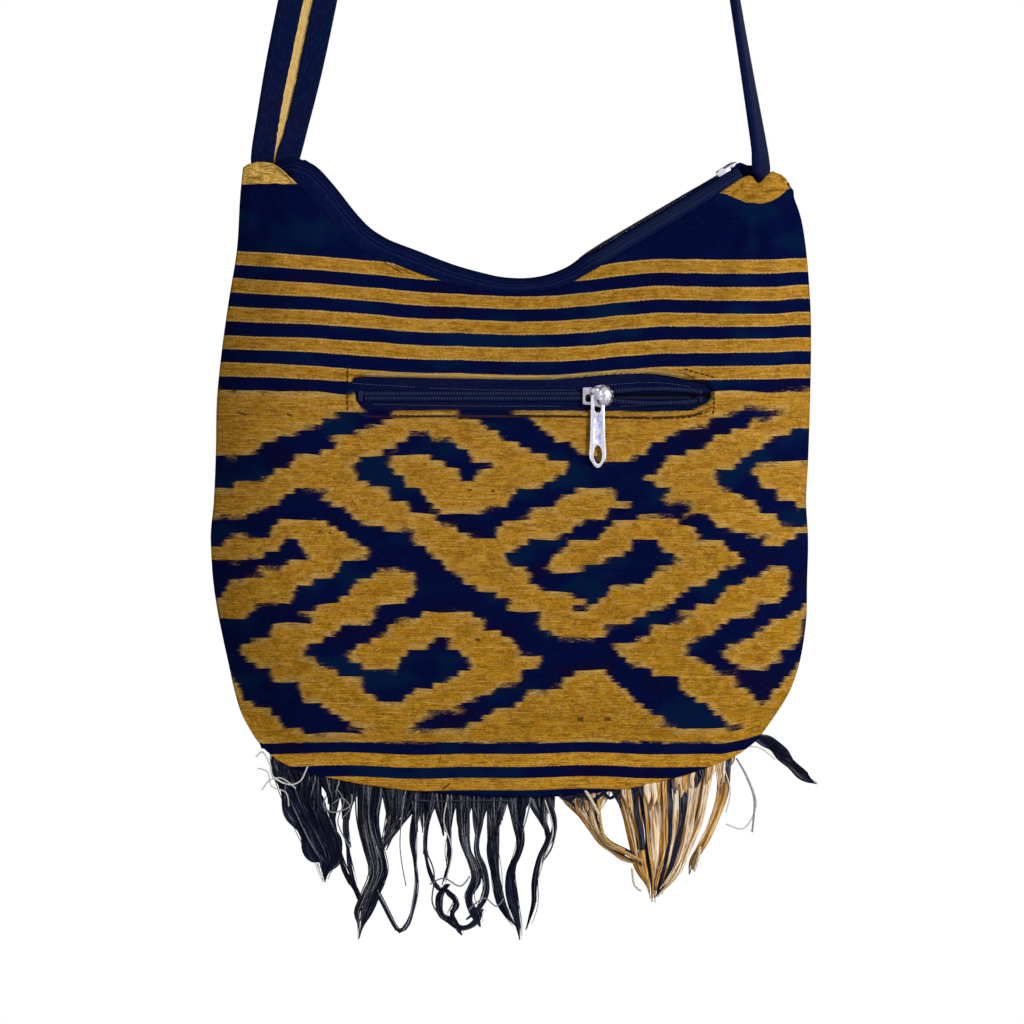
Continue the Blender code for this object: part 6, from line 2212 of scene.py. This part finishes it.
@dataclass
class YarnFringe:
    """The loose warp ends along the bottom seam: short ones all along it, and long ones gathered in hanks."""

    yarns: dict[str, bpy.types.Material]
    radius: float = 0.3
    samples: int = 22
    seed: int = 11
    tubes: dict[str, Tubes] = field(default_factory=dict)

    def core(self, points: Sequence[tuple], kind: str, chance: random.Random) -> None:
        """Adds the dense inside of a hank.

        Args:
            points: column, row, half width and y along its middle.
            kind: its colour.
            chance: the source of its small differences.
        """
        line = even(rounded(points, 8), 34)
        fall = np.linspace(0.0, 1.0, len(line))
        thin = np.interp(fall, (0.0, 0.12), (0.25, 1.0)) if points[0][1] > 850 else 1.0
        thin = thin * np.interp(fall, (0.9, 1.0), (1.0, 0.35))
        lumps = 0.16 * np.sin(fall * chance.uniform(12, 22) + chance.uniform(0, 6))
        lumps = 1.0 + lumps * np.minimum(fall * 4.0, 1.0)
        sway = np.sin(fall * chance.uniform(8, 16) + chance.uniform(0, 6)) * fall * 1.1
        radii = np.maximum(line[:, 2] * GRID * 0.9 * lumps * thin, 0.24)
        path = np.stack([across(line[:, 0] + sway), line[:, 3] + 0.5, height(line[:, 1])], axis=1)
        tubes = self.tubes.setdefault(kind, Tubes(12))
        start = len(tubes.points)
        tubes.add(path, radii, chance.uniform(0.0, 1.0), 1.0)
        skin = tubes.points[start]
        depth = np.minimum(radii, 0.55 + radii * 0.16) / radii
        middle = np.concatenate([np.repeat(path[:, 1], tubes.sides), path[[0, -1], 1]])
        share = np.concatenate([np.repeat(depth, tubes.sides), (1.0, 1.0)])
        skin[:, 1] = middle + (skin[:, 1] - middle) * share

    def strand(self, kind: str, path: np.ndarray, radii: np.ndarray, chance: random.Random,
               bold: bool) -> None:
        """Adds one yarn, a thick one to a hank's inside or a thin one by itself.

        Args:
            kind: its colour.
            path: points along it in the bag's millimetres.
            radii: its radius at each of them.
            chance: the source of its tone.
            bold: whether it is a thick one.
        """
        tone = chance.uniform(0.0, 1.0)
        if bold:
            self.tubes.setdefault(f"{kind}_core", Tubes(12)).add(path, radii, tone, 0.4)
        else:
            self.tubes.setdefault(kind, Tubes(5)).add(path, radii, tone)

    def hank(self, points: Sequence[tuple], mix: Sequence[tuple[str, float]], cores: Sequence[str],
             chance: random.Random) -> None:
        """Adds a hank: its dense inside and the yarns that show on it and beside it.

        Args:
            points: column, row, half width and y along its middle.
            mix: the yarn colours with their shares.
            cores: the colours of the bundles inside, from left to right.
            chance: the source of its small differences.
        """
        for i, core in enumerate(cores):
            part = (2.0 * i + 1.0) / len(cores) - 1.0
            own = [(c + half * part, r + chance.uniform(-1.5, 3.0), half / len(cores) * 1.15,
                    y + 0.5 * abs(part) + chance.uniform(0.0, 0.3)) for c, r, half, y in points]
            self.core(own, core, chance)
        line = rounded(points, 8)
        run = lengths_along(line[:, :2])
        width = float(np.mean([p[2] for p in points[:-1]]))
        bold = cores[0] != "navy_core"
        count = max(2, round(width * (0.3 if bold else 2.4)))
        shared = chance.uniform(0, 6.28)
        kind, left_over = mix[0][0], 0
        for k in range(count):
            part = -1.0 + 2.0 * (k + 0.5) / count + chance.uniform(-0.2, 0.2)
            stop = run[-1] * chance.choice((1.0, 0.98, 0.95, 0.9, 0.8, 0.6))
            goals = np.linspace(0.0, stop, self.samples)
            column, row, half, y = (np.interp(goals, run, line[:, j]) for j in range(4))
            fall = goals / max(run[-1], 1.0)
            phase, speed = chance.uniform(0, 6.28), chance.uniform(4.0, 15.0)
            stray = chance.choice((0.4, 0.7, 1.0, 1.4, 1.8 if bold else 2.6))
            sway = np.sin(phase + fall * speed) * smooth(fall * 1.6) * stray
            sway = sway + np.sin(shared + fall * 9.0) * fall * 1.2
            column = column + half * part * 0.97 + sway
            front = chance.random() < 0.75
            bulge = np.sqrt(np.clip(1.0 - part**2, 0.05, 1.0))
            over = np.minimum(half * GRID, 0.55 + half * GRID * 0.2) * bulge
            out = y + 0.5 + (-1 if front else 1) * (over + 0.1)
            out = out + 0.25 * np.sin(phase * 1.7 + fall * speed * 1.3)
            path = np.stack([across(column), out, height(row)], axis=1)
            thick = chance.uniform(2.4, 5.4) if bold else chance.uniform(0.6, 1.3)
            radii = self.radius * thick * np.interp(fall, (0.0, 0.05, 0.7, 1.0), (0.9, 1, 0.8, 0.25))
            if left_over == 0:
                left_over = 1 if bold else chance.choice((1, 2, 3, 4))
                kind = self.pick(mix, chance)
            left_over -= 1
            self.strand(kind, path, radii, chance, bold)

    @staticmethod
    def pick(mix: Sequence[tuple[str, float]], chance: random.Random) -> str:
        """One colour of a mix, by the colours' shares."""
        goal = chance.random()
        for kind, share in mix:
            goal -= share
            if goal <= 0:
                return kind
        return mix[-1][0]

    @staticmethod
    def middle_of(hank: Sequence[tuple], row: float) -> Pair:
        """A hank's column and half width at a row."""
        rows = [p[1] for p in hank]
        column, half = (float(np.interp(row, rows, [p[j] for p in hank])) for j in (0, 2))
        return column, half

    def skirt(self, hanks: Sequence[Sequence[tuple]], first: float, last: float, mixes: Sequence[tuple],
              lengths: tuple[float, float], chance: random.Random, bold: float = 1.0) -> None:
        """Adds the short yarns under the seam; each leans towards the nearest hank.

        Args:
            hanks: the hanks that the yarns lean to.
            first: the first column.
            last: the last column.
            mixes: colour mixes that follow one another from left to right.
            lengths: shortest and longest yarn in rows.
            chance: the source of its small differences.
            bold: how many times thicker, and fewer, the yarns are.
        """
        seam = np.array(sorted((p[0] / GRID + GRID_MIDDLE, GRID_BASE - p[1] / GRID) for p in BOTTOM_EDGE))
        column, patch, left_over = first, 0, 5
        while column < last:
            start_row = float(np.interp(column, seam[:, 0], seam[:, 1])) - 3.0
            length = chance.uniform(*lengths)
            ends = [self.middle_of(hank, start_row + length) for hank in hanks]
            goal, wide = ends[int(np.argmin([abs(end[0] - column) for end in ends]))]
            goal = goal + float(np.clip(column - goal, -wide, wide)) * chance.uniform(0.5, 1.0)
            goal = column + float(np.clip(goal - column, -12.0, 12.0))
            t = np.linspace(0.0, 1.0, 9)
            x = column + (goal - column) * smooth(t) + np.sin(t * 5.0 + chance.uniform(0, 6.28)) * t * 1.2
            y = -1.2 + chance.uniform(-0.5, 1.9) - 0.6 * t
            path = np.stack([across(x), y, height(start_row + length * t)], axis=1)
            kind = self.pick(mixes[patch % len(mixes)], chance)
            taper = np.interp(t, (0.0, 0.6, 1.0), (1.0, 0.85, 0.2))
            radii = self.radius * bold * chance.uniform(0.7, 1.5) * taper
            self.strand(kind, path, radii, chance, bold > 1.0)
            if bold == 1.0 and chance.random() < 0.4:
                band = f"{kind}_core" if kind != "silver" else "grey_core"
                wide = chance.uniform(0.9, 1.7) * np.interp(t, (0.0, 0.45, 1.0), (1.0, 0.85, 0.18))
                under = path + (chance.uniform(-0.4, 0.4), 0.9 + chance.uniform(0.0, 0.5), 0.0)
                self.tubes.setdefault(band, Tubes(12)).add(under, wide, chance.uniform(0.0, 1.0), 0.3)
            column += chance.uniform(0.5, 1.1) * bold
            left_over -= bold
            if left_over <= 0:
                patch += 1
                left_over = chance.choice((5, 7, 9))

    def loose(self, kind: str, points: Sequence[tuple], radius: float, tone: float) -> None:
        """Adds one loose thread or loop.

        Args:
            kind: its colour.
            points: column, row and y along it.
            radius: its radius in millimetres.
            tone: how light it is.
        """
        line = rounded(points, 8)
        path = np.stack([across(line[:, 0]), line[:, 2], height(line[:, 1])], axis=1)
        self.tubes.setdefault(kind, Tubes(6)).add(path, radius * 1.4, tone)

    def build(self) -> list[bpy.types.Object]:
        """Makes the fringe, one piece a colour."""
        chance = random.Random(self.seed)
        dark = (("navy", 0.74), ("grey", 0.22), ("silver", 0.04))
        mixed = (("navy", 0.38), ("grey", 0.36), ("silver", 0.26))
        for points in NAVY_HANKS:
            middle = 365 < points[0][0] < 540
            wide = points[1][2] > 9
            cores = ("navy_core", "grey_core", "navy_core") if wide and middle else ("navy_core",)
            self.hank(points, mixed if middle else dark, cores, chance)
        stripes = (("gold_core", "cream_core", "navy_core"), ("gold_core", "cream_core"),
                   ("gold_core", "cream_core", "navy_core"), ("gold_core", "navy_core", "cream_core"),
                   ("cream_core", "gold_core", "navy_core"), ("cream_core", "navy_core", "cream_core"),
                   ("gold_core", "cream_core"), ("gold_core", "cream_core"))
        for points, cores in zip(GOLD_HANKS, stripes):
            self.hank(points, (("gold", 0.32), ("cream", 0.5), ("navy", 0.18)), cores, chance)
        self.hank(SIDE_HANK, (("navy", 0.8), ("grey", 0.2)), ("navy_core",), chance)
        self.skirt(NAVY_HANKS, 276, 372, (dark, mixed), (16.0, 44.0), chance)
        self.skirt(NAVY_HANKS, 372, 552, (mixed, dark, mixed), (14.0, 46.0), chance)
        navy = (("navy", 1.0),)
        patches = ((("cream", 0.9), ("gold", 0.1)), navy, (("gold", 0.7), ("cream", 0.3)),
                   (("cream", 0.6), ("gold", 0.4)))
        self.skirt(GOLD_HANKS, 558, 606, ((("cream", 0.8), ("gold", 0.2)), navy), (8.0, 22.0), chance, 2.0)
        self.skirt(GOLD_HANKS, 606, 732, patches, (8.0, 30.0), chance, 4.6)
        for kind, points, radius, tone in LOOSE_THREADS:
            self.loose(kind, points, radius, tone)
        made = []
        for kind, tubes in self.tubes.items():
            piece = tubes.build(f"fringe_{kind}_yarns", self.yarns[kind])
            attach(piece, "bag")
            "gold_yarn" if kind.split("_")[0] in ("gold", "cream") else "navy_yarn"
            made.append(piece)
        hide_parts("fringe_navy", "fringe_side")
        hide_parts("fringe_gold")
        return made


@dataclass
class Studio:
    """Pale floor, white surround, soft lamps and the camera straight in front."""

    floor_z: float = -1.12
    eye_z: float = (height(VIEW_MIDDLE) - FRAME_TOP) / 1000.0
    eye_x: float = (across(VIEW_MIDDLE) - CREST_X) / 1000.0
    seen_width: float = GRID_SIZE * GRID / 1000.0
    floor_size: float = 3.2

    def lamp(self, name: str, spot: tuple, aim: tuple, size: float, watts: float) -> None:
        """Adds a square soft lamp.

        Args:
            name: its name.
            spot: where it stands, in metres.
            aim: the point that it faces.
            size: its side in metres.
            watts: its power.
        """
        light = bpy.data.lights.new(name, "AREA")
        light.shape = "SQUARE"
        light.size = size
        light.energy = watts
        made = bpy.data.objects.new(name, light)
        bpy.context.scene.collection.objects.link(made)
        made.location = spot
        made.rotation_euler = (Vector(aim) - Vector(spot)).to_track_quat("-Z", "Y").to_euler()

    def surround(self) -> None:
        """Lights the world softly and shows it white behind the bag."""
        world = bpy.data.worlds.new("surround")
        bpy.context.scene.world = world
        world.use_nodes = True
        tree = world.node_tree
        tree.nodes.clear()
        path = tree.nodes.new("ShaderNodeLightPath")
        seen = Signal(tree, path.outputs["Is Camera Ray"]).larger(Signal(tree, path.outputs["Is Glossy Ray"]))
        seen = seen.larger(Signal(tree, path.outputs["Is Transmission Ray"]))
        strength = seen * 0.77 + 0.23
        ground = tree.nodes.new("ShaderNodeBackground")
        ground.inputs["Color"].default_value = (1.0, 1.0, 1.0, 1.0)
        tree.links.new(strength.socket, ground.inputs["Strength"])
        output = tree.nodes.new("ShaderNodeOutputWorld")
        tree.links.new(ground.outputs[0], output.inputs[0])

    def build(self) -> None:
        """Makes the stage, the lamps and the camera."""
        bpy.ops.object.select_all(action="DESELECT")
        bpy.ops.mesh.primitive_grid_add(x_subdivisions=8, y_subdivisions=8, size=self.floor_size,
                                        location=(0, 0, self.floor_z))
        floor = bpy.context.active_object
        floor.name = "floor"
        recipe = Recipe("pale_floor", Roughness=0.8)
        cloud = recipe.noise(recipe.object_point(), 2.0, 2.0)
        colour = recipe.mix(cloud, (0.83, 0.82, 0.80), (0.87, 0.86, 0.85))
        floor.data.materials.append(recipe.finish(Base_Color=colour))
        self.surround()
        aim = (self.eye_x, 0.0, self.eye_z)
        self.lamp("key", (1.15, -1.35, -0.1), aim, 0.22, 36.0)
        self.lamp("fill", (-1.3, -1.3, -0.3), aim, 1.2, 4.5)
        self.lamp("rim", (0.5, 1.4, 0.4), aim, 1.0, 9.0)
        camera = bpy.data.cameras.new("camera")
        camera.sensor_width = 36.0
        camera.lens = camera.sensor_width * VIEW_DISTANCE / 1000.0 / self.seen_width
        made = bpy.data.objects.new("camera", camera)
        bpy.context.scene.collection.objects.link(made)
        made.location = (self.eye_x, -VIEW_DISTANCE / 1000.0, self.eye_z)
        made.rotation_euler = (math.pi / 2, 0.0, 0.0)
        bpy.context.scene.camera = made
        bpy.context.scene.view_settings.view_transform = "Standard"


def main() -> None:
    """Builds the bag piece by piece and reports each."""
    logging.basicConfig(level=logging.INFO, format="%(message)s")
    cloth = HandwovenCloth().make()
    band = NavyBand("navy_webbing_band", worn_edges=True).make()
    tape = NavyBand("navy_zip_tape", base=(0.0009, 0.0032, 0.030), lit=(0.005, 0.0115, 0.055)).make()
    facing = NavyBand("navy_facing", (0.0006, 0.0034, 0.034), (0.003, 0.012, 0.058), (0.0012, 0.0034, 0.034),
                      pitch=0.6, lines=(4.3, 6.6), light_after=158.0).make()
    metal = PlatedMetal().make()
    nylon = SatinNylon().make()
    lining = PlainCotton().make()
    pocket = PlainCotton("pocket_cotton", (0.0035, 0.005, 0.022), (0.0015, 0.002, 0.010)).make()
    threads = {
        "brown": Yarn("brown_thread", (0.010, 0.006, 0.008), (0.07, 0.035, 0.016), 1.0).make(),
        "pale": Yarn("pale_thread", (0.30, 0.20, 0.09), (0.62, 0.47, 0.26), 1.0).make(),
        "blue": Yarn("blue_thread", (0.012, 0.016, 0.050), (0.13, 0.15, 0.27), 1.0).make(),
    }
    yarns = {
        "navy": Yarn("navy_yarn", (0.0016, 0.0024, 0.012), (0.011, 0.014, 0.042)).make(),
        "grey": Yarn("grey_yarn", (0.012, 0.014, 0.026), (0.075, 0.078, 0.105)).make(),
        "silver": Yarn("silver_yarn", (0.08, 0.085, 0.11), (0.36, 0.37, 0.42)).make(),
        "gold": Yarn("gold_yarn", (0.22, 0.11, 0.022), (0.62, 0.40, 0.13)).make(),
        "navy_core": YarnBundle("navy_bundle", (0.0012, 0.0018, 0.010), (0.008, 0.011, 0.032),
                                (0.060, 0.064, 0.098)).make(),
        "grey_core": YarnBundle("grey_bundle", (0.0040, 0.0050, 0.018), (0.038, 0.041, 0.062),
                                (0.22, 0.23, 0.28)).make(),
        "gold_core": YarnBundle("gold_bundle", (0.16, 0.060, 0.012), (0.52, 0.27, 0.062), (0.84, 0.58, 0.24),
                                3.5).make(),
        "cream_core": YarnBundle("cream_bundle", (0.24, 0.12, 0.045), (0.74, 0.55, 0.33), (0.93, 0.85, 0.70),
                                 3.5).make(),
        "olive": Yarn("olive_turning", (0.05, 0.045, 0.012), (0.27, 0.22, 0.08)).make(),
        "cream": Yarn("cream_yarn", (0.36, 0.28, 0.17), (0.74, 0.64, 0.48)).make(),
        "white": Yarn("white_thread", (0.45, 0.43, 0.42), (0.85, 0.83, 0.82), 1.2).make(),
    }
    panels = [ClothPanel(side, cloth).build() for side in Side]
    made = [*panels, ShoulderStrap(band).build()]
    made += TopZip(tape, nylon, metal, threads["blue"], yarns["olive"], facing).build()
    made += PocketZip(tape, nylon, metal, threads["blue"]).build()
    made += InnerBags(lining, pocket).build()
    made += StitchRows(threads, panels[0]).build()
    fringe = YarnFringe(yarns).build()
    made += fringe
    for panel, others in zip(panels, (fringe, ())):
        list(others)
    for piece in made:
        LOG.info("%s: %d faces", piece.name, len(piece.data.polygons))
    Studio().build()


if __name__ == "__main__":
    main()
